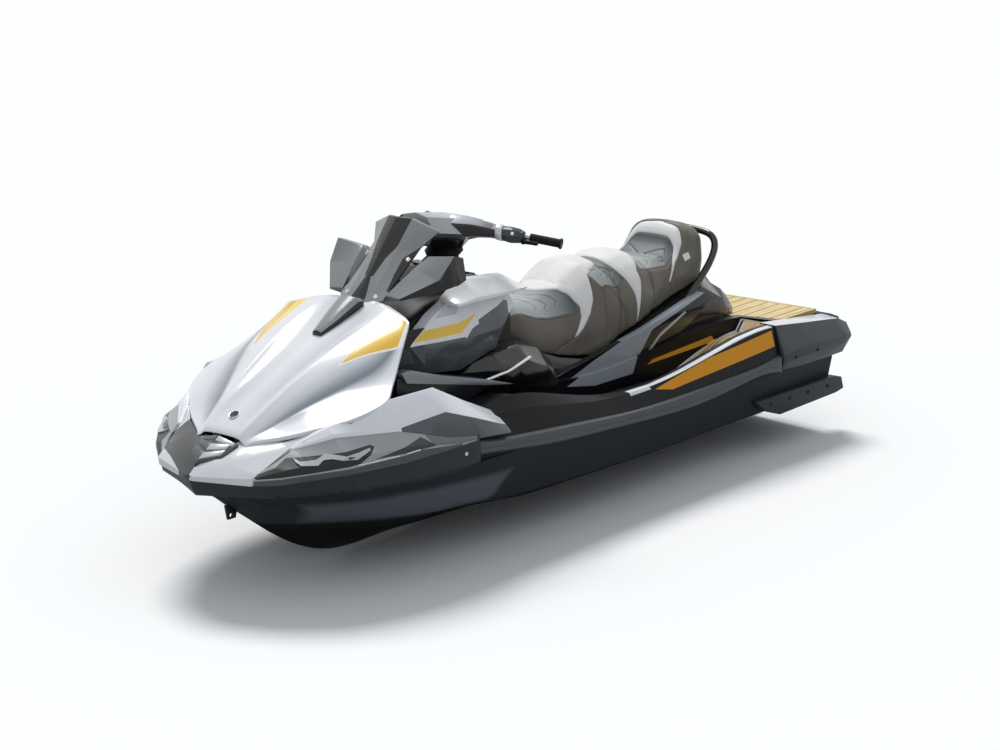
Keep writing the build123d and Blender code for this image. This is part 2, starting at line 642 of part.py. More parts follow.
# ---- behind the seats -----------------------------------------------------------------------
AFT_COWL = [
    (BASE_REAR - 1, [(0, 470), (190, 470), (192, 560), (165, 680), (0, 700)]),
    (400, [(0, 470), (190, 470), (190, 560), (160, 640), (0, 655)]),
    (320, [(0, 470), (170, 470), (168, 540), (140, 585), (0, 596)]),
]
aft_cowl = cut(full_loft(AFT_COWL, ruled=True), moulding)
keep("aft_cowl", aft_cowl)

CORNER = [
    (0, [(470, 400), (575, 384), (590, 410), (588, 425), (562, 470), (470, 482)]),
    (60, [(470, 356), (582, 348), (HALF_BEAM, 398), (HALF_BEAM, 430), (556, 498), (470, 506)]),
    (330, [(470, 356), (585, 350), (HALF_BEAM, 398), (HALF_BEAM, 440), (556, 530), (470, 536)]),
    (545, [(470, 356), (585, 360), (HALF_BEAM, 398), (HALF_BEAM, 430), (552, 556), (470, 558)]),
]
corner_left = cut(side_loft(CORNER), moulding, rub_rail)
keep("stern_corners", pair(corner_left))

# ---- mats -----------------------------------------------------------------------------------
platform_mat = plan_prism(
    [(45, -430), (330, -430), (PLATFORM_FRONT - 12, -220), (PLATFORM_FRONT - 12, 220), (330, 430), (45, 430)],
    PLATFORM_HEIGHT - 20, PLATFORM_HEIGHT + MAT_THICKNESS + 4)
keep("platform_mat", cut(platform_mat, moulding, aft_cowl))

# ---- sponsons -------------------------------------------------------------------------------
SPONSON = [(714, 252), (106, 243), (49, 230), (30, 175), (90, 166), (533, 160), (640, 200)]
SPONSON_OUTER = 572.0
SPONSON_INNER = 500.0
sponson = side_prism(SPONSON, SPONSON_INNER, SPONSON_OUTER) - hull_raw
keep("sponsons", pair(sponson))

# ---- jet pump -------------------------------------------------------------------------------
NOZZLE_FRONT_OUTER = 138.0
NOZZLE_WALL = 6.0
STATOR_HUB = 70.0
STATOR_VANES = 5
BLADE_THICK = 6.0
EAR_THICK = 9.0              # the housing's ears above and below the nozzle
EAR_WIDTH = 16.0             # half their width
ARM_SPAN = (100.0, 108.0)    # breadths of the arms that carry the reverse bucket
ARM_HEIGHT = 14.0            # half their height
BUCKET_PIVOT = (180.0, JET_HEIGHT)
BUCKET_RADIUS = 128.0
BUCKET_HALF = 120.0
pump_outer = PUMP_BORE + 2 * PUMP_WALL
nozzle_outer = NOZZLE_BORE + 2 * NOZZLE_WALL
housing = pipe((PUMP_REAR, 0, JET_HEIGHT), (PUMP_FRONT, 0, JET_HEIGHT), pump_outer, PUMP_BORE)
taper_rear = NOZZLE_PIVOT + 15
taper = cone_pipe(taper_rear, PUMP_REAR, nozzle_outer, NOZZLE_BORE, pump_outer, PUMP_BORE)
stator_hub = rod((PUMP_REAR + 10, 0, JET_HEIGHT), (PUMP_REAR + 80, 0, JET_HEIGHT), STATOR_HUB)
stator_hub = stator_hub - rod(
    (PUMP_REAR + 5, 0, JET_HEIGHT), (PUMP_REAR + 90, 0, JET_HEIGHT), SHAFT_DIAMETER + 2 * SHAFT_BEARING_GAP)
vane = block(
    PUMP_REAR + 15, PUMP_REAR + 75, -BLADE_THICK / 2, BLADE_THICK / 2, JET_HEIGHT + STATOR_HUB / 2 - 2,
    JET_HEIGHT + PUMP_BORE / 2 + 2)
pump = housing + taper + stator_hub
for turn in range(STATOR_VANES):
    pump = pump + vane.rotate(JET_AXIS, turn * 360 / STATOR_VANES)
mount_plate = block(
    PUMP_FRONT - 20, PUMP_FRONT, -TUNNEL_HALF_WIDTH, TUNNEL_HALF_WIDTH, RIDE_PLATE_TOP, TUNNEL_TOP)
mount_plate = mount_plate - rod((PUMP_FRONT - 30, 0, JET_HEIGHT), (PUMP_FRONT + 10, 0, JET_HEIGHT), PUMP_BORE)
pump = pump + mount_plate
ear_low = NOZZLE_FRONT_OUTER / 2 + 3
PIN = 12.0
PIN_GAP = 0.05
for side in (-1, 1):
    low, high = span(side, ear_low, ear_low + EAR_THICK)
    pump = pump + block(
        NOZZLE_PIVOT - 14, taper_rear + 26, -EAR_WIDTH, EAR_WIDTH, JET_HEIGHT + low, JET_HEIGHT + high)
    low, high = span(side, nozzle_outer / 2 - 3, ear_low + EAR_THICK)
    pump = pump + block(
        taper_rear + 14, taper_rear + 26, -EAR_WIDTH, EAR_WIDTH, JET_HEIGHT + low, JET_HEIGHT + high)
    low, high = span(side, ear_low - EAR_THICK, ear_low + 5)
    pump = pump + rod((NOZZLE_PIVOT, 0, JET_HEIGHT + low), (NOZZLE_PIVOT, 0, JET_HEIGHT + high), PIN)
cross_bar = block(
    taper_rear + 18, taper_rear + 32, -ARM_SPAN[1], ARM_SPAN[1],
    JET_HEIGHT - ARM_HEIGHT, JET_HEIGHT + ARM_HEIGHT)
pump = pump + (cross_bar - rod((taper_rear, 0, JET_HEIGHT), (taper_rear + 60, 0, JET_HEIGHT), nozzle_outer))
for side in (-1, 1):
    y0, y1 = span(side, *ARM_SPAN)
    pump = pump + block(
        BUCKET_PIVOT[0] - 14, taper_rear + 32, y0, y1, JET_HEIGHT - ARM_HEIGHT, JET_HEIGHT + ARM_HEIGHT)
    pump = pump + rod((BUCKET_PIVOT[0], side * (ARM_SPAN[0] + 4), BUCKET_PIVOT[1]),
                      (BUCKET_PIVOT[0], side * BUCKET_HALF, BUCKET_PIVOT[1]), PIN)
pump = cut(pump, hull)
keep("pump_housing", pump)

BLADE_PITCH = 38.0           # degrees
impeller_outer = PUMP_BORE - 2 * IMPELLER_GAP
hub_rear = PUMP_REAR + 90
hub_front = PUMP_FRONT - 20
impeller = cone_pipe(hub_rear, hub_front, 66, SHAFT_DIAMETER, 44, SHAFT_DIAMETER)
blade_centre = (hub_rear + hub_front) / 2
blade_reach = impeller_outer / 2 + 10
blade = block(
    blade_centre - 45, blade_centre + 45, -BLADE_THICK / 2, BLADE_THICK / 2, JET_HEIGHT + 20,
    JET_HEIGHT + blade_reach)
blade = blade.rotate(Axis(at(blade_centre, 0, JET_HEIGHT), (0, 0, 1)), BLADE_PITCH)
for turn in range(IMPELLER_BLADES):
    impeller = impeller + blade.rotate(JET_AXIS, turn * 360 / IMPELLER_BLADES)
impeller = impeller & rod((hub_rear, 0, JET_HEIGHT), (hub_front, 0, JET_HEIGHT), impeller_outer)
impeller = impeller - rod((hub_rear - 5, 0, JET_HEIGHT), (hub_front + 5, 0, JET_HEIGHT), SHAFT_DIAMETER)
keep("impeller", impeller)
drive_shaft = rod((PUMP_REAR + 12, 0, JET_HEIGHT), (ENGINE_REAR + 55, 0, JET_HEIGHT), SHAFT_DIAMETER)
keep("drive_shaft", drive_shaft)

nozzle = cone_pipe(NOZZLE_REAR, NOZZLE_PIVOT + 5, NOZZLE_BORE + 14, NOZZLE_BORE, NOZZLE_FRONT_OUTER,
                   NOZZLE_FRONT_OUTER - 14)
NOZZLE_BOSS = 26.0           # round the pins it turns on
nozzle_half = NOZZLE_FRONT_OUTER / 2
for side in (-1, 1):
    nozzle = nozzle + rod((NOZZLE_PIVOT - 4, 0, JET_HEIGHT + side * (nozzle_half - 11)),
                          (NOZZLE_PIVOT - 4, 0, JET_HEIGHT + side * nozzle_half), NOZZLE_BOSS)
nozzle = nozzle & block(
    0, NOZZLE_PIVOT + 9, -90, 90, JET_HEIGHT - nozzle_half - 1, JET_HEIGHT + nozzle_half + 1)
nozzle = nozzle - rod(
    (NOZZLE_PIVOT, 0, JET_HEIGHT - 90), (NOZZLE_PIVOT, 0, JET_HEIGHT + 90), PIN + 2 * PIN_GAP)
keep("steering_nozzle", nozzle)


def bucket_point(radius, degrees):
    angle = math.radians(degrees)
    return (BUCKET_PIVOT[0] - radius * math.cos(angle), BUCKET_PIVOT[1] + radius * math.sin(angle))


def bucket_arc(radius, start, end, count=8):
    return [bucket_point(radius, start + (end - start) * i / count) for i in range(count + 1)]


shell = side_prism(
    bucket_arc(BUCKET_RADIUS + 6, 42, 100) + list(reversed(bucket_arc(BUCKET_RADIUS, 42, 100))),
    -BUCKET_HALF, BUCKET_HALF)
arm = side_prism([bucket_point(20, 250), bucket_point(20, 0), bucket_point(BUCKET_RADIUS + 1, 55),
                  bucket_point(BUCKET_RADIUS + 1, 92), bucket_point(20, 140)], BUCKET_HALF - 6, BUCKET_HALF)
bucket = shell + arm + mirrored(arm)
bucket = bucket - rod((BUCKET_PIVOT[0], -150, BUCKET_PIVOT[1]), (BUCKET_PIVOT[0], 150, BUCKET_PIVOT[1]),
                      PIN + 2 * PIN_GAP)
keep("reverse_bucket", bucket)

ride_plate = block(
    45, PUMP_FRONT - 10, -TUNNEL_HALF_WIDTH + 2, TUNNEL_HALF_WIDTH - 2, RIDE_PLATE_TOP - RIDE_PLATE_THICK,
    RIDE_PLATE_TOP)
keep("ride_plate", ride_plate)
GRATE_BAR = 12.0
grate_z = 36.0
bars = []
for index in range(-2, 3):
    bars.append(rod((PUMP_FRONT + 10, index * 44, grate_z), (TUNNEL_FRONT, index * 44, grate_z), GRATE_BAR))
grate = block(
    PUMP_FRONT + 5, PUMP_FRONT + 20, -TUNNEL_HALF_WIDTH, TUNNEL_HALF_WIDTH, grate_z - 8, grate_z + 8)
for bar in bars:
    grate = grate + bar
grate = cut(grate, hull)
keep("intake_grate", grate)

# ---- boarding step --------------------------------------------------------------------------
STEP_PIVOT = (45.0, 250.0)
STEP_HALF = 160.0
STEP_TUBE = 22.0
step_points = [(STEP_PIVOT[0], STEP_HALF, STEP_PIVOT[1]), (8, STEP_HALF, 350), (8, STEP_HALF, 468)]
step_points += [(x, -y, z) for x, y, z in reversed(step_points)]
boarding_step = bent_tube(step_points, 20, STEP_TUBE)
STEP_PIN = 10.0
BRACKET_HEIGHT = 16.0        # half the height of the brackets on the transom
brackets = []
for side in (-1, 1):
    inner = (STEP_PIVOT[0], side * (STEP_HALF - 12), STEP_PIVOT[1])
    outer = (STEP_PIVOT[0], side * (STEP_HALF + 16), STEP_PIVOT[1])
    boarding_step = boarding_step + rod(inner, outer, STEP_TUBE + 4)
    boarding_step = boarding_step - rod(inner, outer, STEP_PIN + 2 * PIN_GAP)
    y0, y1 = span(side, STEP_HALF + 22, STEP_HALF + 32)
    bracket = block(
        STEP_PIVOT[0] - 14, TRANSOM, y0, y1, STEP_PIVOT[1] - BRACKET_HEIGHT, STEP_PIVOT[1] + BRACKET_HEIGHT)
    bracket = bracket + rod((STEP_PIVOT[0], side * (STEP_HALF - 10), STEP_PIVOT[1]),
                            (STEP_PIVOT[0], side * (STEP_HALF + 25), STEP_PIVOT[1]), STEP_PIN)
    brackets.append(bracket)
keep("boarding_step", boarding_step)
keep("step_brackets", brackets)

# ---- steering -------------------------------------------------------------------------------
COLUMN_TOP = 140.0           # along the leaning axis from the console
BAR_HEIGHT = 150.0
BAR_BEND = 40.0
GRIP_END = (1852.0, GRIP_END_HALF, 1120.0)
BAR_SHOULDER = (1960.0, 170.0, 1160.0)
GRIP_SHARE = 0.48            # part of the bar's outer run that the grip covers
column = rod(on_column(-COLUMN_DEPTH), on_column(COLUMN_TOP), COLUMN_DIAMETER)
keep("steering_column", column)
bar_middle = on_column(BAR_HEIGHT)
bar_port = [GRIP_END, BAR_SHOULDER, (bar_middle[0], 60, bar_middle[2])]
bar_points = bar_port + [(x, -y, z) for x, y, z in reversed(bar_port)]
handlebar = bent_tube(bar_points, BAR_BEND, BAR_DIAMETER) - column
keep("handlebar", handlebar)
COVER = [
    (1935, [(0, 1165), (70, 1165), (95, 1178), (80, 1192), (0, 1198)]),
    (2080, [(0, 1090), (90, 1100), (120, 1160), (90, 1220), (0, 1236)]),
    (2250, [(0, 1130), (70, 1140), (95, 1190), (60, 1250), (0, 1262)]),
]
cover = cut(full_loft(COVER, ruled=True), column, handlebar)
keep("handlebar_cover", cover)
grip_inner = tuple(a + (b - a) * GRIP_SHARE for a, b in zip(GRIP_END, BAR_SHOULDER))
grip = rod(GRIP_END, grip_inner, GRIP_DIAMETER) - handlebar
keep("grips", pair(grip))
SWITCH_POD = (1890, 1990, 190, 285, 1110, 1185)
LEVER = (1930, 1942, 292, 360, 1120, 1134)
LEVER_ROOT = (1925, 1945, 285, 300, 1118, 1136)
pod = block(*SWITCH_POD) - handlebar
keep("switch_pods", pair(pod))
lever = block(*LEVER) + block(*LEVER_ROOT)
keep("hand_levers", pair(lever))

# ---- trim ahead of the rider ----------------------------------------------------------------
KNEE = [
    (2800, [(192, 520), (372, 520), (378, 760), (300, 765), (192, 765)]),
    (2556, [(192, 540), (372, 540), (380, 712), (300, 716), (192, 716)]),
    (2284, [(192, 600), (370, 610), (380, 640), (300, 650), (192, 650)]),
    (2132, [(192, 585), (374, 592), (380, 598), (300, 606), (192, 612)]),
]
knee_left = cut(side_loft(KNEE), moulding, fender_left, console, fairing_left, coaming, fender_raw)
keep("knee_bolsters", pair(knee_left))
TRIM_STRIP = [(2784, 775), (2727, 779), (2556, 724), (2284, 652), (2132, 604), (2284, 630), (2757, 735)]
trim_left = cut(side_prism(TRIM_STRIP, 340, 392), knee_left, fender_left)
keep("knee_trims", pair(trim_left))
POD = [
    (2285, [(192, 640), (230, 640), (236, 652), (220, 660), (192, 660)]),
    (2120, [(192, 560), (322, 570), (330, 650), (270, 700), (192, 705)]),
    (1960, [(192, 500), (326, 510), (332, 655), (276, 712), (192, 716)]),
    (1830, [(192, 460), (320, 470), (326, 600), (272, 672), (192, 690)]),
    (1735, [(192, 450), (296, 455), (300, 520), (262, 600), (192, 612)]),
]
pod_left = cut(side_loft(POD), moulding, console, fairing_left, knee_left, seat_base, trim_left, driver_seat)
keep("speaker_pods", pair(pod_left))
WING = [
    (2352, [(206, 945), (300, 940), (302, 950), (230, 964), (206, 964)]),
    (2250, [(206, 960), (312, 946), (314, 962), (240, 1024), (206, 1026)]),
    (2000, [(206, 950), (300, 934), (302, 948), (232, 1000), (206, 1004)]),
    (1885, [(206, 930), (262, 926), (264, 932), (225, 942), (206, 944)]),
]
wing_left = cut(side_loft(WING), fairing_left, console)
keep("console_winglets", pair(wing_left))

# ---- trim along the deck --------------------------------------------------------------------
STRIP = [
    (560, 549), (650, 550), (800, 541), (1000, 514), (1200, 485), (1300, 475), (1420, 467), (1575, 469),
]
strip_rings = []
for x, z in STRIP:
    strip_rings.append((x, [(518, z - 25), (546, z - 25), (549, z - 6), (542, z + 5), (518, z + 6)]))
strip_left = largest(cut(side_loft(strip_rings), moulding, corner_left))
keep("gunwale_trims", pair(strip_left))
floor_line = [
    (PLATFORM_FRONT + 46, FLOOR_AFT_HEIGHT), (620, FLOOR_AFT_HEIGHT), (FLOOR_SLOPE_FRONT, FLOOR_HEIGHT),
              (FOOTWELL_FRONT - 265, FLOOR_HEIGHT + FLOOR_RISE)]
mat_top = [(x, z + MAT_THICKNESS) for x, z in reversed(floor_line)]
mat_left = side_prism(floor_line + mat_top, FOOTWELL_INNER + 14, FOOTWELL_OUTER - 12)
keep("footwell_mats", pair(cut(mat_left, deck)))
PLUG = (250.0, 135.0)        # breadth and height of the drain plugs
plugs = []
for side in (-1, 1):
    plugs.append(rod((TRANSOM - 8, side * PLUG[0], PLUG[1]), (TRANSOM, side * PLUG[0], PLUG[1]), 32))
keep("drain_plugs", plugs)
EYE_BORE = 18.0
STERN_EYE_SPAN = (400.0, 410.0)
STERN_EYE_HEIGHT = 300.0
TOW_EYE = (305.0, 594.0)
BOW_EYE = (3324.0, 286.0)
bow_eye = side_prism([(3290, 320), (3300, 272), (3340, 272), (3352, 330)], -5, 5)
bow_eye = cut(bow_eye, hull, bow_bumper)
bow_eye = bow_eye - rod((BOW_EYE[0], -10, BOW_EYE[1]), (BOW_EYE[0], 10, BOW_EYE[1]), EYE_BORE)
keep("bow_eye", bow_eye)
stern_eyes = []
for side in (-1, 1):
    y0, y1 = span(side, *STERN_EYE_SPAN)
    eye = block(TRANSOM - 36, TRANSOM, y0, y1, STERN_EYE_HEIGHT - 20, STERN_EYE_HEIGHT + 20)
    eye = eye - rod(
        (TRANSOM - 18, y0 - 5, STERN_EYE_HEIGHT), (TRANSOM - 18, y1 + 5, STERN_EYE_HEIGHT), EYE_BORE)
    stern_eyes.append(eye)
keep("stern_eyes", stern_eyes)
tow_eye = side_prism([(345, 575), (290, 575), (290, 612), (345, 612)], -6, 6)
tow_eye = cut(tow_eye, aft_cowl) - rod((TOW_EYE[0], -10, TOW_EYE[1]), (TOW_EYE[0], 10, TOW_EYE[1]), EYE_BORE)
keep("tow_eye", tow_eye)

# ---- write ----------------------------------------------------------------------------------
os.makedirs("parts", exist_ok=True)
for name, whole in pieces.items():
    export_step(whole, "parts/" + name + ".step")
    print(name, len(whole.solids()), round(whole.volume / 1e6, 2), whole.bounding_box())
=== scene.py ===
import bpy
import bmesh
import json
import math
import numpy as np
from mathutils import Matrix, Vector
from mathutils.bvhtree import BVHTree

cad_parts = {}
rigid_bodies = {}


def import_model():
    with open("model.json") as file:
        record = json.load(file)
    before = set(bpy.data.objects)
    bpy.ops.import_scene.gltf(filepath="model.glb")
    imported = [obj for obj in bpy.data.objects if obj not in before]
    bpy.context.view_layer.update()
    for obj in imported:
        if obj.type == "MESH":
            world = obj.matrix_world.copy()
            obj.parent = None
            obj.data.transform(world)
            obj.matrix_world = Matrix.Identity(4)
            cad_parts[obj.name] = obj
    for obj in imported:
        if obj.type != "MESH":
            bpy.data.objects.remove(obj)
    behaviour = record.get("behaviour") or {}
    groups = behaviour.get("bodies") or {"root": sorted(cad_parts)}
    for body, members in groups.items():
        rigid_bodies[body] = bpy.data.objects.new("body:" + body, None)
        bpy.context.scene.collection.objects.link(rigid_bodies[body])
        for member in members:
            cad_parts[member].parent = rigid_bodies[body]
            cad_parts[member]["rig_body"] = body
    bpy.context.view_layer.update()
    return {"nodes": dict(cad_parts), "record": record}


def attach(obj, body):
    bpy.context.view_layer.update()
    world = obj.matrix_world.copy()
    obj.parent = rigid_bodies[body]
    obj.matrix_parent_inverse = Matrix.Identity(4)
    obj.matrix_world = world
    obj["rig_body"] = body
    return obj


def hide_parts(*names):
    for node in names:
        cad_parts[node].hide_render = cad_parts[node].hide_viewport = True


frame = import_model()
nodes = frame["nodes"]
slotOf = {part["node"]: part["material_slot"] for part in frame["record"]["subparts"]}
print("frame loaded with", len(nodes), "nodes")


def paintColour(code):  # "#rrggbb" as linear colour
    shares = [int(code[i:i + 2], 16) / 255 for i in (1, 3, 5)]
    linear = [c / 12.92 if c <= 0.04045 else ((c + 0.055) / 1.055) ** 2.4 for c in shares]
    return (*linear, 1.0)


def connect(tree, slot, value):
    if isinstance(value, Field):
        tree.links.new(value.socket, slot)
    else:
        slot.default_value = value


def shaderNode(tree, kind, settings=None, values=None):
    made = tree.nodes.new(kind)
    for key, value in (settings or {}).items():
        setattr(made, key, value)
    for key, value in (values or {}).items():
        connect(tree, made.inputs[key], value)
    return made


class Field:  # a socket that takes part in sums
    def __init__(self, tree, socket):
        self.tree = tree
        self.socket = socket

    def math(self, operation, *others):
        values = dict(enumerate((self, *others)))
        made = shaderNode(self.tree, "ShaderNodeMath", {"operation": operation}, values)
        return Field(self.tree, made.outputs[0])

    def __add__(self, other):
        return self.math("ADD", other)

    def __sub__(self, other):
        return self.math("SUBTRACT", other)

    def __rsub__(self, other):
        return self.math("MULTIPLY", -1.0).math("ADD", other)

    def __mul__(self, other):
        return self.math("MULTIPLY", other)

    __radd__ = __add__
    __rmul__ = __mul__

    def least(self, other):
        return self.math("MINIMUM", other)

    def most(self, other):
        return self.math("MAXIMUM", other)

    def size(self):
        return self.math("ABSOLUTE")

    def over(self, low, high):  # 0 below low, 1 above high
        values = {"Value": self, "From Min": low, "From Max": high}
        made = shaderNode(self.tree, "ShaderNodeMapRange", {"interpolation_type": "SMOOTHSTEP"}, values)
        return Field(self.tree, made.outputs[0])


class Paint:
    def __init__(self, name):
        self.material = bpy.data.materials.new(name)
        self.material.use_nodes = True
        self.tree = self.material.node_tree
        self.shader = self.tree.nodes["Principled BSDF"]
        self.place = self.field("ShaderNodeTexCoord", out="Object")
        parts = shaderNode(self.tree, "ShaderNodeSeparateXYZ", None, {"Vector": self.place})
        self.x, self.y, self.z = [Field(self.tree, parts.outputs[i]) for i in range(3)]
        self.across = self.y.size()

    def field(self, kind, settings=None, values=None, out=0):
        return Field(self.tree, shaderNode(self.tree, kind, settings, values).outputs[out])

    def attribute(self, name):
        return self.field("ShaderNodeAttribute", {"attribute_name": name}, out="Fac")

    def noise(self, scale, detail=2.0, rough=0.5, place=None):
        values = {"Vector": place or self.place, "Scale": scale, "Detail": detail, "Roughness": rough}
        return self.field("ShaderNodeTexNoise", None, values, "Fac")

    def blend(self, share, low, high):  # colours
        values = {0: share, 6: low, 7: high}
        return self.field("ShaderNodeMix", {"data_type": "RGBA"}, values, 2)

    def stretched(self, scale):
        return self.field("ShaderNodeMapping", None, {"Vector": self.place, "Scale": scale})

    def set(self, **values):
        for key, value in values.items():
            connect(self.tree, self.shader.inputs[key.replace("_", " ")], value)
        self.base = values.get("Base_Color", getattr(self, "base", None))

    def bump(self, height, strength, distance):
        values = {"Height": height, "Strength": strength, "Distance": distance}
        self.set(Normal=self.field("ShaderNodeBump", None, values))

    def patch(self, code, plane, *outlines, band=None, soft=0.0006):  # paints convex outlines over the base
        axis = {"x": self.x, "y": self.y, "z": self.z, "a": self.across}
        depth = inside(axis[plane[0]], axis[plane[1]], outlines[0])
        for corners in outlines[1:]:
            depth = depth.most(inside(axis[plane[0]], axis[plane[1]], corners))
        share = depth.over(-soft, soft)
        if band:  # only between two places along another axis
            along, low, high = band
            share = share * axis[along].over(low, low + 0.002) * axis[along].over(high, high - 0.002)
        self.set(Base_Color=self.blend(share, self.base, paintColour(code)))


def inside(u, v, corners):  # depth inside a convex outline, in metres
    turn = sum(a[0] * b[1] - b[0] * a[1] for a, b in zip(corners, corners[1:] + corners[:1]))
    depth = None
    for a, b in zip(corners, corners[1:] + corners[:1]):
        du, dv = b[0] - a[0], b[1] - a[1]
        size = math.hypot(du, dv) * (1 if turn > 0 else -1)
        edge = v * (du / size) - u * (dv / size) + (dv * a[0] - du * a[1]) / size
        depth = edge if depth is None else depth.least(edge)
    return depth


finishes = {
    # the hull's underside colour is painted darker than its side band, as painted shade, and its facet colour
    # is a painted sheen
    "gelcoat": "#121316", "keel": "#070708", "hullSide": "#2f3236", "hullFacetSheen": "#5a5e66",
    "white": "#eceef2", "silver": "#d6d8df", "pale": "#b9bcc0", "wallGrey": "#a9afb6",
    "charcoal": "#44484b", "paleInShade": "#55595e", "plastic": "#2b2d30", "black": "#0d0d0f", "rubber": "#17181a",
    # the second orange is the stripe's orange painted lighter, as painted light on the shaded pedestal
    "orange": "#dd951f", "orangeWithPaintedLight": "#f0a93a", "yellow": "#f3c944",
    "teak": "#edd9a8", "darkTeak": "#dcc088", "groove": "#3a3226", "darkTray": "#18191b",
    "alloy": "#8d9092", "steel": "#a3a6a8", "brightSteel": "#d5d7d9",
    "cream": "#eceae8", "taupe": "#79736a", "darkTaupe": "#625c54", "padShade": "#4f5759",
    "padLight": "#b2b5b5", "thread": "#2e2b28", "tag": "#f2f2f0",
}
colour = {name: paintColour(code) for name, code in finishes.items()}


def darker(base, share):
    return tuple(c * share for c in base[:3]) + (1.0,)


def gloss(name, base, rough, coat=0.3, metal=0.0, level=0.3):  # sprayed or moulded shiny skin
    paint = Paint(name)
    cloud = paint.noise(scale=3.0, detail=3.0)
    grain = paint.noise(scale=900.0, detail=1.0)
    paint.set(Base_Color=paint.blend(cloud.over(0.3, 0.7), darker(base, 0.93), base), Metallic=metal)
    paint.set(Roughness=cloud * 0.06 + (rough - 0.03), Coat_Weight=coat, Coat_Roughness=0.08)
    paint.set(Specular_IOR_Level=level)
    paint.bump(grain, strength=0.03, distance=0.0002)
    return paint


def moulded(name, base, rough, grainSize=700.0, depth=0.25):  # pebbled plastic or rubber
    paint = Paint(name)
    cloud = paint.noise(scale=6.0, detail=3.0)
    grain = paint.noise(scale=grainSize, detail=2.0)
    shade = paint.blend(cloud.over(0.25, 0.75), darker(base, 0.85), base)
    paint.set(Base_Color=shade, Specular_IOR_Level=0.2)
    paint.set(Roughness=grain * 0.12 + (rough - 0.06))
    paint.bump(grain, strength=depth, distance=0.0003)
    return paint


def metal(name, base, rough, brushed=(1, 1, 1)):
    paint = Paint(name)
    streak = paint.noise(scale=160.0, detail=3.0, rough=0.6, place=paint.stretched(brushed))
    paint.set(Base_Color=paint.blend(streak.over(0.3, 0.7), darker(base, 0.8), base), Metallic=0.9)
    paint.set(Roughness=streak * 0.15 + (rough - 0.07))
    paint.bump(streak, strength=0.08, distance=0.0003)
    return paint


# the hull's black, painted near black on the underside as painted shade, with a lighter band along the side
hullPaintShadeAndSheen = gloss("hullGelcoatShadeAndSheen", colour["keel"], rough=0.4, coat=0.0, level=0.05)
hullPaintShadeAndSheen.patch(finishes["hullSide"], "xz", [(1.9, 0.16), (1.9, -0.01), (-1.75, -0.115), (-1.75, 0.16)])
# a painted sheen: the forward facet between crease and chine painted lighter, where it catches the light
hullPaintShadeAndSheen.patch(
    finishes["hullFacetSheen"], "xz",
    [(1.42, 0.088), (1.09, 0.097), (0.56, 0.079), (0.64, -0.035), (1.34, -0.012)], soft=0.02)
whitePaint = gloss("whitePaint", colour["white"], 0.3, 0.4)
silverPaint = gloss("silverPaint", colour["silver"], 0.35, 0.4, 0.1)
charcoalPaint = gloss("charcoalPaint", colour["charcoal"], 0.38, 0.15, 0.1, 0.2)
# a darker copy of the pale paint, as painted shade on the vent's starboard side
paleInShadePaint = gloss("paleInShadePaint", colour["paleInShade"], 0.35, 0.2, 0.2, 0.3)
palePaint = gloss("palePaint", colour["pale"], 0.3, 0.4, 0.2)
glossBlack = gloss("glossBlack", colour["black"], 0.15, 0.5, 0.0, 0.3)
greyPlastic = moulded("greyPlastic", colour["plastic"], 0.45)
blackPlastic = moulded("blackPlastic", colour["black"], 0.5)
rubberSkin = moulded("rubber", colour["rubber"], 0.6, 500.0, 0.4)
castAlloy = metal("castAlloy", colour["alloy"], 0.5)
steelSkin = metal("steel", colour["steel"], 0.3, (1, 8, 8))
brightSteel = metal("brightSteel", colour["brightSteel"], 0.22)
displayGlass = gloss("displayGlass", colour["black"], 0.08, 0.8)

deckPaint = gloss("deckGelcoat", colour["gelcoat"], rough=0.3, coat=0.0, level=0.12)
deckPaint.patch(
    finishes["orange"], "xz",
    [(-0.366, 0.206), (-0.762, 0.261), (-1.207, 0.29), (-1.209, 0.222), (-0.468, 0.186)],
    band=("a", 0.53, 1.0))
deckPaint.patch(
    finishes["wallGrey"], "xz",
    [(-0.15, 0.215), (-0.385, 0.281), (-0.669, 0.322), (-0.6, 0.179), (-0.34, 0.181)],
    band=("a", 0.2, 0.28))
# the pedestal stripe in a lighter orange, as painted light where the wall is in shade
deckPaint.patch(
    finishes["orangeWithPaintedLight"], "xz", [(-0.7, 0.197), (-0.738, 0.213), (-1.17, 0.232), (-1.19, 0.204)],
    band=("a", 0.2, 0.28))


mats = {
    "plank": 0.062, "seam": (0.0278, 0.029), "frame": 0.018, "frameLine": (0.0012, 0.0024),
    "planksFrom": (0.019, 0.0205), "grain": (0.15, 1.0, 1.0),
    "platform": [(-1.735, -0.1), (-1.735, 0.43), (-1.45, 0.43), (-1.402, 0.22), (-1.402, -0.1)],
    "tray": [(-1.344, 0.276), (-1.344, 0.48), (0.215, 0.48), (0.215, 0.276)],
    "darkTray": [(-0.8, -0.1), (0.5, -0.1), (0.5, 0.6), (-0.8, 0.6)],
}


def teakFinish(name, outline):  # planks along the craft, and one sawn line that follows the mat's edge
    paint = Paint(name)
    plank = paint.across.math("MODULO", mats["plank"]) - mats["plank"] / 2
    seam = plank.size().over(*mats["seam"])
    edge = inside(paint.x, paint.across, outline)
    frameLine = 1 - (edge - mats["frame"]).size().over(*mats["frameLine"])
    line = (seam * edge.over(*mats["planksFrom"])).most(frameLine)
    grain = paint.noise(scale=60.0, detail=4.0, rough=0.6, place=paint.stretched(mats["grain"]))
    speck = paint.noise(scale=900.0, detail=2.0)
    wood = paint.blend(grain.over(0.3, 0.7), colour["darkTeak"], colour["teak"])
    paint.set(Base_Color=paint.blend(line, wood, colour["groove"]), Roughness=speck * 0.2 + 0.6)
    paint.set(Specular_IOR_Level=0.2)
    paint.bump(speck * 0.3 - line, strength=0.5, distance=0.0015)
    return paint


platformTeak = teakFinish("platformTeak", mats["platform"])
trayTeak = teakFinish("trayTeak", mats["tray"])
trayTeak.patch(finishes["darkTray"], "xa", mats["darkTray"])

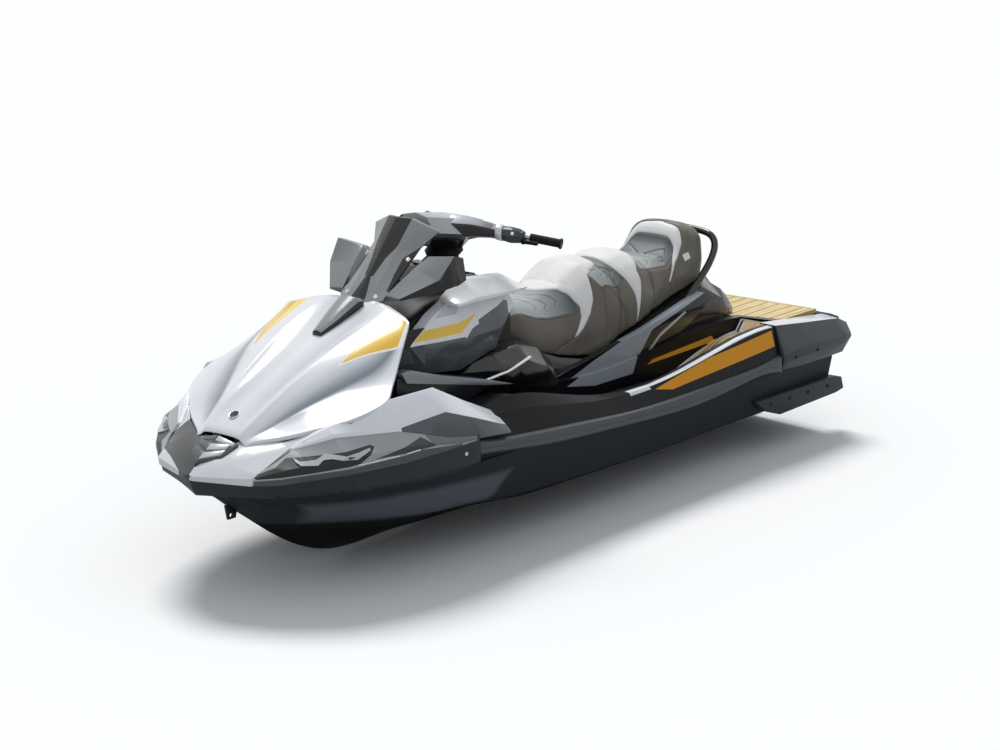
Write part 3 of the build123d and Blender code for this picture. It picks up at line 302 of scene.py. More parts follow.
slotFinish = {
    "hull_gelcoat": hullPaintShadeAndSheen, "deck_gelcoat": deckPaint, "white_paint": whitePaint,
    "silver_paint": silverPaint, "grey_paint": charcoalPaint, "grey_plastic": greyPlastic,
    "black_plastic": blackPlastic, "gloss_black": glossBlack, "screen_plastic": greyPlastic,
    "vinyl": greyPlastic, "teak_mat": platformTeak, "steel": steelSkin, "cast_alloy": castAlloy,
    "rubber": rubberSkin, "display_glass": displayGlass,
}
ownFinish = {"footwell_mats": trayTeak}
for name, piece in nodes.items():
    for place in range(len(piece.material_slots)):
        piece.material_slots[place].material = ownFinish.get(name, slotFinish[slotOf[name]]).material
print("finishes made")


def linked(name, data):
    item = bpy.data.objects.new(name, data)
    bpy.context.scene.collection.objects.link(item)
    return item


def settle(shape, name, paints, node, stands=True, sharp=35.0):  # a finished piece on its node's body
    mesh = bpy.data.meshes.new(name)
    shape.to_mesh(mesh)
    shape.free()
    piece = linked(name, mesh)
    for paint in paints if isinstance(paints, (list, tuple)) else [paints]:
        mesh.materials.append(paint.material)
    mesh.polygons.foreach_set("use_smooth", [True] * len(mesh.polygons))
    mesh.set_sharp_from_angle(angle=math.radians(sharp))
    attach(piece, nodes[node]["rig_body"])
    if stands:
        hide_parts(node)
    return piece


def vertsOf(geom):
    return [item for item in geom if isinstance(item, bmesh.types.BMVert)]


def outward(shape):  # turns every face to the outside
    bmesh.ops.recalc_face_normals(shape, faces=shape.faces)
    return shape


def pushed(shape, faces, way):  # extrudes faces and moves the fresh ones
    made = bmesh.ops.extrude_face_region(shape, geom=faces)["geom"]
    bmesh.ops.translate(shape, vec=way, verts=vertsOf(made))


def turned(way):  # stands the Z axis along a direction
    return Vector(way).to_track_quat("Z", "Y").to_matrix().to_4x4()


def welded(node):  # a copy of a CAD node's mesh, joined up
    shape = bmesh.new()
    shape.from_mesh(nodes[node].data)
    bmesh.ops.remove_doubles(shape, verts=shape.verts, dist=0.00002)
    return shape


def merged(node):  # the same with its flat faces whole
    shape = welded(node)
    bmesh.ops.dissolve_limit(
        shape, angle_limit=math.radians(1.0), verts=shape.verts, edges=shape.edges)
    return shape


def eased(shape, width):  # rounds the sharp edges
    sharp = math.radians(20.0)
    edges = [edge for edge in shape.edges if edge.is_manifold and edge.calc_face_angle(0) > sharp]
    bmesh.ops.bevel(
        shape, geom=edges, offset=width, offset_type="OFFSET", segments=2, profile=0.5,
        affect="EDGES", material=-1, clamp_overlap=True)
    return shape


def reflected(shape, weld=False):  # adds the starboard half
    geom = shape.verts[:] + shape.edges[:] + shape.faces[:]
    copy = bmesh.ops.duplicate(shape, geom=geom)["geom"]
    bmesh.ops.scale(shape, vec=(1, -1, 1), verts=vertsOf(copy))
    if weld:
        bmesh.ops.remove_doubles(shape, verts=shape.verts, dist=0.0001)
    return outward(shape)


def slab(shape, corners, drop, finish=0):  # a plate from its outline's corners and how deep it goes
    face = shape.faces.new([shape.verts.new(corner) for corner in corners])
    face.material_index = finish
    pushed(shape, [face], drop)
    return outward(shape)


def swept(stops, way, sides=8):  # pulled out ring by ring; a stop is (centre, half width, half height)
    turn = turned(way)
    poses = [Matrix.Translation(c) @ turn @ Matrix.Diagonal((w, h, 1, 1)) for c, w, h in stops]
    shape = bmesh.new()
    bmesh.ops.create_circle(shape, segments=sides, radius=1.0, cap_ends=True, matrix=poses[0])
    cap = shape.faces[:]
    for before, after in zip(poses, poses[1:]):
        made = bmesh.ops.extrude_face_region(shape, geom=cap)["geom"]
        bmesh.ops.transform(shape, matrix=after @ before.inverted(), verts=vertsOf(made))
        cap = [item for item in made if isinstance(item, bmesh.types.BMFace)]
    return outward(shape)


def tube(points, radius):  # round bar along a smooth line
    line = bpy.data.curves.new("line", "CURVE")
    line.dimensions = "3D"
    spline = line.splines.new("NURBS")
    spline.points.add(len(points) - 1)
    for knot, place in zip(spline.points, points):
        knot.co = (*place, 1.0)
    spline.order_u = 3
    spline.use_endpoint_u = True
    line.bevel_depth = radius
    line.bevel_resolution = 4
    line.resolution_u = 10
    line.use_fill_caps = True
    holder = bpy.data.objects.new("line", line)
    mesh = bpy.data.meshes.new_from_object(holder)
    shape = bmesh.new()
    shape.from_mesh(mesh)
    bmesh.ops.remove_doubles(shape, verts=shape.verts, dist=0.00001)
    bpy.data.objects.remove(holder)
    bpy.data.meshes.remove(mesh)
    return outward(shape)


def joined(shapes):
    whole = bmesh.new()
    for shape in shapes:
        mesh = bpy.data.meshes.new("part")
        shape.to_mesh(mesh)
        shape.free()
        whole.from_mesh(mesh)
        bpy.data.meshes.remove(mesh)
    return whole


screwHead = {"sides": 18, "top": 0.85, "rim": 0.4}  # top and rim as shares of the radius


def screws(spots, way, radius, rise=0.003):
    shapes = []
    turn = turned(way)
    for spot in spots:
        shape = bmesh.new()
        bmesh.ops.create_cone(
            shape, cap_ends=True, segments=screwHead["sides"], radius1=radius,
            radius2=radius * screwHead["top"], depth=rise * 2)
        top = [face for face in shape.faces if face.normal.z > 0.9]
        bmesh.ops.inset_region(shape, faces=top, thickness=radius * screwHead["rim"])
        pushed(shape, top, (0, 0, -rise))
        bmesh.ops.transform(shape, matrix=Matrix.Translation(spot) @ turn, verts=shape.verts)
        shapes.append(shape)
    return joined(shapes)


def snapped(node, points, lift):  # an open line laid on a piece's surface
    step = 0.02
    line = []
    for start, end in zip(points, points[1:]):
        start, end = Vector(start), Vector(end)
        count = max(1, round((end - start).length / step))
        line += [start.lerp(end, part / count) for part in range(count)]
    line.append(Vector(points[-1]))
    shape = merged(node)
    surface = BVHTree.FromBMesh(shape)
    shape.free()
    found = [surface.find_nearest(point) for point in line]
    return [place + way * lift for place, way, *_ in found]


def byFacet(shape, rule):  # gives the second finish to the faces that look the right way
    for face in shape.faces:
        face.material_index = int(rule(face.normal))
    return shape


def trim(shape, name, paints, node, sharp=35.0):  # an added detail and its starboard twin
    settle(reflected(shape), name, paints, node, False, sharp)


panels = {  # rounded edge, base colour, finish, and what is painted over it
    "fenders": (0.005, "#f1f2f8", dict(rough=0.33, coat=0.4), [
        ("#4d5157", "xz", [[(1.167, 0.377), (0.951, 0.397), (0.804, 0.345), (0.6, 0.27),
            (0.6, 0.2), (1.167, 0.2)]])]),
    "bow_cheeks": (0.003, "#a4a7a9", dict(rough=0.38, coat=0.3), [
        ("#6b6f72", "xz", [[(1.11, 0.42), (1.045, 0.292), (0.9, 0.27), (0.6, 0.26), (0.6, 0.45)]]),
        ("#4a4e51", "xz", [[(1.75, 0.237), (1.51, 0.2555), (1.357, 0.273), (1.112, 0.2875), (0.9, 0.27),
            (0.9, 0.15), (1.75, 0.15)]]),
        ("#33363a", "xz", [[(1.302, 0.286), (1.091, 0.331), (1.031, 0.289)]]),
        # painted shade: the scoop's recess, left flat, painted dark where shade falls in the hollow
        ("#1d1f22", "xz", [[(1.662, 0.253), (1.548, 0.311), (1.301, 0.337), (1.288, 0.33), (1.357, 0.278),
            (1.657, 0.245)]])]),
    "nose_panel": (0.003, "#dadce0", dict(rough=0.33, coat=0.4), [
        # painted shade: the starboard face of the nose painted dark, as the side turned away from the light
        ("#2f3437", "xy", [[(1.76, 0.0), (1.7, -0.002), (1.57, -0.085), (1.5, -0.16), (1.485, -0.255),
            (1.6, -0.3), (1.76, -0.02)]])]),
    "bow_bumper": (0.004, "#2b3032", dict(rough=0.42, coat=0.0, level=0.25), []),
    "side_panels": (0.004, "#131418", dict(rough=0.2, coat=0.3), [
        (finishes["wallGrey"], "xz", [[(-0.131, 0.226), (-0.362, 0.29), (-0.748, 0.38), (-0.748, 0.338),
            (-0.599, 0.186), (-0.232, 0.192)],
            [(-0.747, 0.38), (-1.072, 0.44), (-1.161, 0.44), (-1.023, 0.403),
            (-0.747, 0.338)]]),
        # painted highlights: thin pale strips where the panel's bevels catch the light
        ("#c3c7cf", "xz", [[(-0.605, 0.15), (-0.68, 0.228), (-0.7, 0.232), (-0.64, 0.15)],
            [(-0.68, 0.228), (-0.802, 0.311), (-0.815, 0.303), (-0.7, 0.224)],
            [(-0.802, 0.311), (-0.985, 0.376), (-0.995, 0.368), (-0.815, 0.3)]])]),
    "console_fairings": (0.005, "#e9ebef", dict(rough=0.3, coat=0.4), [
        ("#c3c6d2", "xz", [[(0.648, 0.651), (0.54, 0.723), (0.498, 0.701), (0.531, 0.65)]]),
        (finishes["yellow"], "xz", [[(0.775, 0.607), (0.681, 0.617), (0.533, 0.616), (0.512, 0.577),
            (0.63, 0.578), (0.786, 0.584)],
            [(0.533, 0.616), (0.381, 0.641), (0.469, 0.604), (0.512, 0.577)]]),
        ("#4c5056", "xz", [[(0.83, 0.571), (0.704, 0.566), (0.513, 0.568), (0.43, 0.38), (0.83, 0.38)],
            [(0.513, 0.568), (0.458, 0.581), (0.381, 0.63), (0.3, 0.4), (0.45, 0.38)],
            [(0.415, 0.606), (0.227, 0.65), (0.2, 0.64), (0.24, 0.44), (0.37, 0.4)]]),
        ("#3a3d41", "xz", [[(0.458, 0.579), (0.373, 0.492), (0.363, 0.439), (0.408, 0.39), (0.3, 0.38),
            (0.34, 0.56)]]),
        ("#16171a", "xz", [[(0.206, 0.8), (0.204, 0.641), (0.274, 0.48), (0.35, 0.43), (0.4, 0.38),
            (0.12, 0.38), (0.12, 0.8)]])]),
    "console_winglets": (0.004, "#eff0f3", dict(rough=0.3, coat=0.4), []),
    "stern_corners": (0.004, "#3d4144", dict(rough=0.35, coat=0.1, level=0.25), []),
    "windscreen": (0.002, "#909497", dict(rough=0.35, coat=0.2), [
        ("#1a1b1d", "az", [[(0.117, 0.903), (0.089, 0.87), (0.3, 0.87), (0.3, 0.903)],
            [(0.089, 0.87), (0.092, 0.817), (0.101, 0.76), (0.3, 0.76), (0.3, 0.87)]]),
        ("#101113", "az", [[(-0.1, 1.1), (0.065, 1.1), (0.056, 0.914), (0.034, 0.869), (-0.1, 0.869)],
            [(-0.1, 0.869), (0.034, 0.869), (0.021, 0.808), (-0.1, 0.808)],
            [(-0.1, 0.808), (0.021, 0.808), (0.034, 0.74), (0.05, 0.69), (-0.1, 0.69)]])]),
    "hatch_latch": (0.004, "#8b8e91", dict(rough=0.35, coat=0.2), []),
    "mirrors": (0.004, "#7d8184", dict(rough=0.35, coat=0.2), []),
    "handlebar_cover": (0.006, "#b6b9bc", dict(rough=0.3, coat=0.3), []),
    "seat_base": (0.012, "#141518", dict(rough=0.2, coat=0.3), [
        # the pedestal stripe in a lighter orange, as painted light where the wall is in shade
        (finishes["orangeWithPaintedLight"], "xz",
         [[(-0.745, 0.184), (-0.78, 0.212), (-1.219, 0.221), (-1.244, 0.18)]])]),
    "aft_cowl": (0.016, "#131417", dict(rough=0.15, coat=0.4), []),
    "speaker_pods": (0.014, "#131417", dict(rough=0.15, coat=0.4), []),
    "knee_bolsters": (0.008, "#1a1b1e", dict(rough=0.3, coat=0.1, level=0.2), []),
    "knee_trims": (0.004, "#80868a", dict(rough=0.3, coat=0.3, metal=0.3), []),
    "hatch_coaming": (0.003, "#131416", dict(rough=0.35, coat=0.1, level=0.2), [
        ("#e9ebef", "xz", [[(0.857, 0.586), (0.839, 0.601), (0.757, 0.7), (0.7, 0.7), (0.7, 0.585)]]),
        (finishes["yellow"], "xz", [[(0.836, 0.6), (0.781, 0.646), (0.7, 0.648), (0.7, 0.604)]]),
        ("#4c5056", "xz", [[(0.857, 0.586), (0.7, 0.574), (0.7, 0.4), (0.785, 0.505), (0.829, 0.518)]]),
        ("#303437", "xz", [[(0.857, 0.585), (0.922, 0.574), (0.928, 0.528), (0.829, 0.518)]])]),
    "bow_eye": (0.002, "#17181a", dict(rough=0.4, coat=0.0), []),
    "rub_rail": (0.005, "#4d5155", dict(rough=0.35, coat=0.0, level=0.3), []),
    "sponsons": (0.004, "#33373a", dict(rough=0.45, coat=0.0, level=0.2), []),
    "glove_box_lid": (0.003, "#1b1c1f", dict(rough=0.4, coat=0.0), []),
    "display": (0.004, "#18191b", dict(rough=0.15, coat=0.5), []),
    "gunwale_trims": (0.002, "#e6e8ec", dict(rough=0.35, coat=0.3), []),
    "console": (0.004, "#17181a", dict(rough=0.4, coat=0.0, level=0.2), []),
}
facets = {  # a second finish for some faces
    "stern_corners": (silverPaint, lambda way: way.z > 0.55),
    "hatch_latch": (glossBlack, lambda way: way.z < 0.35),
    "mirrors": (glossBlack, lambda way: abs(way.y) > 0.72 or way.x < -0.3),
    "handlebar_cover": (glossBlack, lambda way: way.z < -0.1 or way.x < -0.5),
    "windscreen": (glossBlack, lambda way: way.x < -0.1 or way.z < -0.6),
    "console_winglets": (glossBlack, lambda way: way.z < -0.3),
}
for node, (width, code, finish, painted) in panels.items():
    paint = gloss(node + "Paint", paintColour(code), **finish)
    for shade, plane, outlines in painted:
        paint.patch(shade, plane, *outlines)
    shape = merged(node)
    paints = [paint]
    if node in facets:
        second, rule = facets[node]
        paints.append(second)
        byFacet(shape, rule)
    settle(eased(shape, width), node + "Skin", paints, node)
print("panels eased and painted")


hood = {
    "levels": 3, "wall": 0.004, "flange": 0.015, "lipX": 1.577, "noseX": 1.566,
    "shade": [0.08, 0.36, 0.0, 0.0, 0.22, 1.0, 0.18, 0.0, 0.3],  # how much painted shade each column gets, most in the groove
    "shadeCode": "#737b8a", "shadeShare": 0.92, "shadeEnds": 1.56, "shadeFades": 0.1,
    "creases": {2: 0.75, 5: 0.45, 7: 1.0},  # by column: the ridge, the groove and the seam
    "lip": [(0, 0.357), (0.071, 0.356), (0.094, 0.35), (0.106, 0.341), (0.112, 0.337), (0.118, 0.335),
            (0.124, 0.333), (0.129, 0.332)],
    "nose": [(0, 0.38), (0.071, 0.379), (0.094, 0.376), (0.106, 0.364), (0.112, 0.358), (0.118, 0.353),
             (0.124, 0.35), (0.129, 0.348)],
    "rows": [  # each row runs from the centreline to the seam: (x, y, z)
        [(1.488, 0, 0.425), (1.488, 0.077, 0.424), (1.488, 0.107, 0.426), (1.488, 0.128, 0.408),
         (1.488, 0.142, 0.393), (1.488, 0.155, 0.379), (1.488, 0.195, 0.375), (1.492, 0.247, 0.368)],
        [(1.4, 0, 0.471), (1.4, 0.083, 0.468), (1.4, 0.118, 0.478), (1.4, 0.144, 0.46),
         (1.4, 0.166, 0.441), (1.4, 0.186, 0.42), (1.4, 0.27, 0.414), (1.402, 0.345, 0.402)],
        [(1.32, 0, 0.509), (1.32, 0.089, 0.507), (1.32, 0.127, 0.523), (1.32, 0.161, 0.507),
         (1.32, 0.196, 0.486), (1.32, 0.222, 0.455), (1.32, 0.31, 0.447), (1.331, 0.421, 0.423)],
        [(1.188, 0, 0.568), (1.188, 0.099, 0.568), (1.188, 0.143, 0.588), (1.188, 0.195, 0.576),
         (1.188, 0.252, 0.553), (1.188, 0.29, 0.512), (1.184, 0.37, 0.492), (1.176, 0.478, 0.468)],
        [(1.11, 0, 0.603), (1.11, 0.104, 0.603), (1.11, 0.153, 0.622), (1.11, 0.218, 0.611),
         (1.11, 0.286, 0.586), (1.112, 0.326, 0.542), (1.116, 0.38, 0.517), (1.12, 0.435, 0.498)],
        [(1.035, 0, 0.635), (1.035, 0.113, 0.634), (1.035, 0.162, 0.651), (1.035, 0.23, 0.639),
         (1.035, 0.3, 0.613), (1.042, 0.338, 0.576), (1.047, 0.37, 0.556), (1.051, 0.4, 0.54)],
        [(0.95, 0, 0.67), (0.95, 0.12, 0.668), (0.95, 0.172, 0.679), (0.95, 0.242, 0.667),
         (0.95, 0.305, 0.645), (0.952, 0.326, 0.632), (0.954, 0.338, 0.622), (0.956, 0.349, 0.612)],
        [(0.806, 0, 0.732), (0.808, 0.1, 0.729), (0.818, 0.165, 0.722), (0.834, 0.222, 0.712),
         (0.849, 0.268, 0.702), (0.858, 0.29, 0.697), (0.865, 0.302, 0.693), (0.872, 0.312, 0.689)],
    ],
    "flashes": [  # the yellow flash, its white edge and its highlights
        ("#f8f8f6", [(1.185, 0.224), (0.76, 0.227), (0.76, 0.395), (0.966, 0.345)]),
        ("#efc03c", [(1.166, 0.228), (0.846, 0.232), (0.872, 0.3), (0.966, 0.336)]),
        ("#f8dc6a", [(1.13, 0.234), (0.849, 0.236), (0.86, 0.268)]),
        ("#fdf6d8", [(1.135, 0.235), (0.864, 0.274), (0.862, 0.2695), (1.135, 0.2335)])],
}


def skin(rows):  # a sheet drawn out row by row from a first chain of points
    shape = bmesh.new()
    chain = [shape.verts.new(point) for point in rows[0]]
    edges = [shape.edges.new(pair) for pair in zip(chain, chain[1:])]
    for row in rows[1:]:
        made = bmesh.ops.extrude_edge_only(shape, edges=edges)["geom"]
        fresh = set(vertsOf(made))
        chain = [next(e.other_vert(v) for e in v.link_edges if e.other_vert(v) in fresh) for v in chain]
        for vert, point in zip(chain, row):
            vert.co = point
        edges = [shape.edges.get(pair) for pair in zip(chain, chain[1:])]
    return shape


def hoodFinish():
    paint = gloss("hoodPaint", colour["white"], rough=0.3, coat=0.4)
    # painted shade along the groove and at the ridge's foot, faded out toward the nose
    shade = paint.attribute("shade") * hood["shadeShare"]
    paint.set(Base_Color=paint.blend(shade, paint.base, paintColour(hood["shadeCode"])))
    for code, outline in hood["flashes"]:
        paint.patch(code, "xa", outline)
    return paint


def makeHood():
    rows = [[(hood["lipX"], y, z) for y, z in hood["lip"]], [(hood["noseX"], y, z) for y, z in hood["nose"]]]
    rows += hood["rows"]
    rows = [row + [(row[-1][0], row[-1][1] + 0.001, row[-1][2] - hood["flange"])] for row in rows]
    shape = reflected(skin(rows), weld=True)
    sharp = shape.edges.layers.float.new("crease_edge")
    shade = shape.verts.layers.float.new("shade")
    column = {(round(x, 4), round(y, 4)): place for row in rows for place, (x, y, z) in enumerate(row)}

    def columnOf(vert):
        return column[(round(vert.co.x, 4), round(abs(vert.co.y), 4))]

    for vert in shape.verts:
        forward = min(1.0, max(0.0, (hood["shadeEnds"] - vert.co.x) / hood["shadeFades"]))
        vert[shade] = hood["shade"][columnOf(vert)] * forward
    for edge in shape.edges:
        start, end = [columnOf(vert) for vert in edge.verts]
        if start == end:
            edge[sharp] = hood["creases"].get(start, 0.0)
        if edge.is_boundary:
            edge[sharp] = 1.0
    piece = settle(shape, "hoodSkin", hoodFinish(), "front_hatch", True, 60.0)
    smooth = piece.modifiers.new("smooth", "SUBSURF")
    smooth.levels = smooth.render_levels = hood["levels"]
    thick = piece.modifiers.new("wall", "SOLIDIFY")
    thick.thickness, thick.offset = hood["wall"], -1.0


emblem = {  # a plain disc in a bright ring
    "place": (1.506, 0.0, 0.4165), "way": (0.42, 0.0, 0.91), "foot": 0.0215, "top": 0.0205, "thick": 0.006,
    "ring": 0.0022, "dish": 0.0008, "sides": 48,
}


def makeEmblem():
    disc = bmesh.new()
    bmesh.ops.create_cone(
        disc, cap_ends=True, segments=emblem["sides"], radius1=emblem["foot"],
        radius2=emblem["top"], depth=emblem["thick"])
    top = [face for face in disc.faces if face.normal.z > 0.9]
    bmesh.ops.inset_region(disc, faces=top, thickness=emblem["ring"], depth=-emblem["dish"])
    for face in top:
        face.material_index = 1
    place = Matrix.Translation(emblem["place"]) @ turned(emblem["way"])
    bmesh.ops.transform(disc, matrix=place, verts=disc.verts)
    settle(disc, "emblemDisc", [brightSteel, blackPlastic], "front_hatch", False)


makeHood()
makeEmblem()
print("hood made")


vent = {  # outlines of the port half, as (x, y) on a sloping crowned top
    "top": 0.358, "topAt": 1.587, "fall": 0.63, "crown": 0.2, "frameDeep": 0.07,
    "frame": [(1.712, 0), (1.655, 0.081), (1.588, 0.101), (1.588, 0)],
    "bar": [(1.698, 0), (1.65, 0.07), (1.63, 0.074), (1.67, 0)],
    "barsBack": [0.0, 0.04], "tipShare": 0.6, "barRise": 0.004, "barDeep": 0.008,
    "sill": [(1.612, 0.004), (1.606, 0.084), (1.592, 0.086), (1.592, 0.004)],
    "sillRise": 0.002, "sillDeep": 0.006, "frameEase": 0.003, "barEase": 0.0012,
}


def onVent(outline, side, lift=0.0):
    return [(x, side * y, vent["top"] - (x - vent["topAt"]) * vent["fall"] - y * vent["crown"] + lift)
            for x, y in outline]


def makeVent():  # the raised intake ahead of the hood, which also covers its hinge
    shape = bmesh.new()
    for side in (1, -1):
        slab(shape, onVent(vent["frame"], side), (0, 0, -vent["frameDeep"]))
    bmesh.ops.remove_doubles(shape, verts=shape.verts, dist=0.0001)
    settle(eased(shape, vent["frameEase"]), "ventFrame", charcoalPaint, "nose_vent")
    bars = bmesh.new()
    for back in vent["barsBack"]:
        outline = [(x - back * (vent["tipShare"] if y else 1), y) for x, y in vent["bar"]]
        # the starboard bars and sill take the darker copy of the pale paint, as painted shade on the side
        # away from the light
        for side, finish in ((1, 0), (-1, 1)):
            slab(bars, onVent(outline, side, vent["barRise"]), (0, 0, -vent["barDeep"]), finish)
    for side, finish in ((1, 0), (-1, 1)):
        slab(bars, onVent(vent["sill"], side, vent["sillRise"]), (0, 0, -vent["sillDeep"]), finish)
    settle(eased(bars, vent["barEase"]), "ventBars", [palePaint, paleInShadePaint], "nose_vent", False)


makeVent()

scoop = {  # the bent strip on each cheek, and the line under it
    "upper": [(1.534, 0.32, 0.312), (1.532, 0.353, 0.301), (1.492, 0.396, 0.306), (1.454, 0.405, 0.323),
              (1.436, 0.431, 0.32), (1.408, 0.469, 0.312), (1.356, 0.485, 0.319), (1.31, 0.494, 0.328)],
    "lower": [(1.542, 0.342, 0.3), (1.543, 0.37, 0.29), (1.498, 0.412, 0.289), (1.473, 0.417, 0.305),
              (1.45, 0.438, 0.307), (1.423, 0.466, 0.3), (1.372, 0.492, 0.296), (1.311, 0.501, 0.32)],
    "rise": (0.003, 0.005, 0.003),
    "line": [(1.664, 0.245, 0.2445), (1.51, 0.375, 0.2565), (1.357, 0.495, 0.274), (1.112, 0.568, 0.2885)],
    "lineRise": 0.001, "lineRadius": 0.003,
}
bumper = {
    "screws": [(1.573, 0.279, 0.158), (1.478, 0.346, 0.157), (1.393, 0.431, 0.167), (1.27, 0.49, 0.163)],
    "screwWay": (0.5, 0.85, 0.1), "screwRadius": 0.005,
    "bolt": [(0.88, 0.593, 0.224)], "boltWay": (0.1, 1, 0.1), "boltRadius": 0.009,
}
podBar = {
    "line": [(0.515, 0.319, 0.369), (0.35, 0.334, 0.3855), (0.31, 0.334, 0.385), (0.165, 0.326, 0.414)],
    "radius": 0.007,
}


def makeBowTrim():
    insert = skin([scoop["upper"], scoop["lower"]])
    pushed(insert, insert.faces[:], scoop["rise"])
    trim(insert, "scoopInsert", palePaint, "bow_cheeks", 20.0)
    line = tube(snapped("bow_cheeks", scoop["line"], scoop["lineRise"]), scoop["lineRadius"])
    trim(line, "cheekLine", brightSteel, "bow_cheeks")
    heads = screws(bumper["screws"], bumper["screwWay"], bumper["screwRadius"])
    trim(heads, "bumperScrews", blackPlastic, "bow_bumper")
    bolt = screws(bumper["bolt"], bumper["boltWay"], bumper["boltRadius"])
    trim(bolt, "bumperBolt", brightSteel, "bow_bumper")
    trim(tube(podBar["line"], podBar["radius"]), "podBars", brightSteel, "speaker_pods")


makeBowTrim()
print("bow trim made")


bar = {  # the shrouds, switch housings and grips along the handlebar, and the boot around its column
    "way": (-0.399, 0.917, -0.02), "armSides": 6, "gripSides": 24, "bootSides": 28,
    "armEase": 0.005, "clampEase": 0.003, "podEase": 0.004, "bootEase": 0.003, "leverEase": 0.003,
    "arm": [((0.33, 0.06, 0.94), 0.058, 0.05), ((0.262, 0.118, 0.932), 0.05, 0.042),
            ((0.205, 0.166, 0.916), 0.036, 0.032), ((0.19, 0.186, 0.91), 0.034, 0.03)],
    "clamp": [((0.192, 0.184, 0.911), 0.037, 0.034), ((0.18, 0.208, 0.906), 0.037, 0.034)],
    "pod": [((0.18, 0.208, 0.905), 0.034, 0.031), ((0.166, 0.236, 0.9), 0.038, 0.034),
            ((0.148, 0.266, 0.896), 0.034, 0.03), ((0.138, 0.284, 0.893), 0.022, 0.021)],
    "bolt": [(0.19, 0.262, 0.912)], "boltWay": (0.8, 0.3, 0.5), "boltRadius": 0.008,
    "grip": [(0.1238, 0.299, 0.8892), (0.072, 0.418, 0.87)], "gripRadius": 0.0178, "ribs": 15,
    "ribbed": 0.93, "rib": [(0.0, 0.92), (0.25, 1.0), (0.75, 1.0)],  # (share of the length, of the radius)
    "gripEnd": [(0.935, 0.9), (0.94, 1.22), (0.99, 1.22), (1.0, 1.05)],
    "boot": [((0.325, 0.0, 0.792), 0.078, 0.078), ((0.31, 0.0, 0.812), 0.064, 0.064),
             ((0.302, 0.0, 0.832), 0.078, 0.078), ((0.296, 0.0, 0.85), 0.068, 0.068),
             ((0.288, 0.0, 0.88), 0.085, 0.085)],
}


def makeGrips():
    inner, outer = [Vector(place) for place in bar["grip"]]
    profile = [((rib + share) / bar["ribs"] * bar["ribbed"], radius)
               for rib in range(bar["ribs"]) for share, radius in bar["rib"]]
    stops = []
    for share, radius in profile + bar["gripEnd"]:
        stops.append((inner.lerp(outer, share), radius * bar["gripRadius"], radius * bar["gripRadius"]))
    grips = reflected(swept(stops, outer - inner, bar["gripSides"]))
    settle(grips, "gripSleeves", rubberSkin, "grips", True, 25.0)


def makeBar():
    arm = swept(bar["arm"], bar["way"], bar["armSides"])
    byFacet(arm, lambda way: way.z < 0.25)
    trim(eased(arm, bar["armEase"]), "barArms", [palePaint, glossBlack], "handlebar_cover")
    clamp = eased(swept(bar["clamp"], bar["way"]), bar["clampEase"])
    trim(clamp, "barClamps", silverPaint, "handlebar_cover")
    pods = reflected(eased(swept(bar["pod"], bar["way"]), bar["podEase"]))
    settle(pods, "switchHousings", charcoalPaint, "switch_pods")
    trim(screws(bar["bolt"], bar["boltWay"], bar["boltRadius"]), "podBolts", brightSteel, "switch_pods")
    makeGrips()
    boot = eased(swept(bar["boot"], (0, 0, 1), bar["bootSides"]), bar["bootEase"])
    settle(boot, "steeringBoot", rubberSkin, "steering_column", False)
    levers = eased(merged("hand_levers"), bar["leverEase"])
    settle(levers, "leverSkin", blackPlastic, "hand_levers")


makeBar()

screen = {
    "bolts": [(0.637, 0.106, 0.866), (0.793, 0.074, 0.743)], "way": (0.86, 0.35, 0.36),
    "radius": 0.01, "rise": 0.004,
}
heads = screws(screen["bolts"], screen["way"], screen["radius"], screen["rise"])
trim(heads, "screenBolts", brightSteel, "windscreen")
print("bar and screen trim made")


stern = {
    "handle": [(-1.05, 0.207, 0.405), (-1.19, 0.205, 0.498), (-1.276, 0.204, 0.588), (-1.286, 0.186, 0.65),
               (-1.302, 0.09, 0.664)],  # the port half
    "handleRadius": 0.0155, "highlightWay": (-0.75, 0.55, 0.3), "highlightFrom": 0.62,
    "cornerScrews": [(-1.326, 0.6, 0.155), (-1.494, 0.6, 0.155), (-1.64, 0.596, 0.155)],
    "cornerScrewRadius": 0.008,
    "sponsonScrews": [(-1.176, 0.572, -0.03), (-1.324, 0.572, -0.032), (-1.467, 0.572, -0.035),
                      (-1.623, 0.572, -0.04)],
    "sponsonScrewRadius": 0.009,
    "trayEdge": [(-1.344, 0.269, 0.218), (-1.16, 0.269, 0.218), (-0.88, 0.269, 0.128)],
    "trayEdgeRadius": 0.006,
    "platformEdge": [(-1.35, 0.264, 0.216), (-1.388, 0.264, 0.26), (-1.392, 0.268, 0.263),
                     (-1.392, 0.484, 0.263), (-1.388, 0.489, 0.26), (-1.35, 0.489, 0.216)],
    "platformEdgeRadius": 0.005,
}
riser = {  # the mat on the step up to the platform; a layer is (finish, how much wider, how far out)
    "inner": 0.29, "outer": 0.474, "topX": -1.389, "topZ": 0.262, "footX": -1.353, "footZ": 0.217,
    "layers": [(1, 0.01, 0.002), (0, 0.0, 0.004)], "drop": (-0.006, 0, -0.006),
}


def makeRiser():
    shape = bmesh.new()
    for finish, grow, lift in riser["layers"]:
        inner, outer = riser["inner"] - grow, riser["outer"] + grow
        top, foot = riser["topX"] - grow * 0.5, riser["footX"] + grow * 0.5
        face = [(top, inner, riser["topZ"]), (top, outer, riser["topZ"]),
                (foot, outer, riser["footZ"]), (foot, inner, riser["footZ"])]
        slab(shape, [(x + lift, y, z + lift) for x, y, z in face], riser["drop"], finish)
    trim(shape, "riserMats", [trayTeak, whitePaint], "footwell_mats")


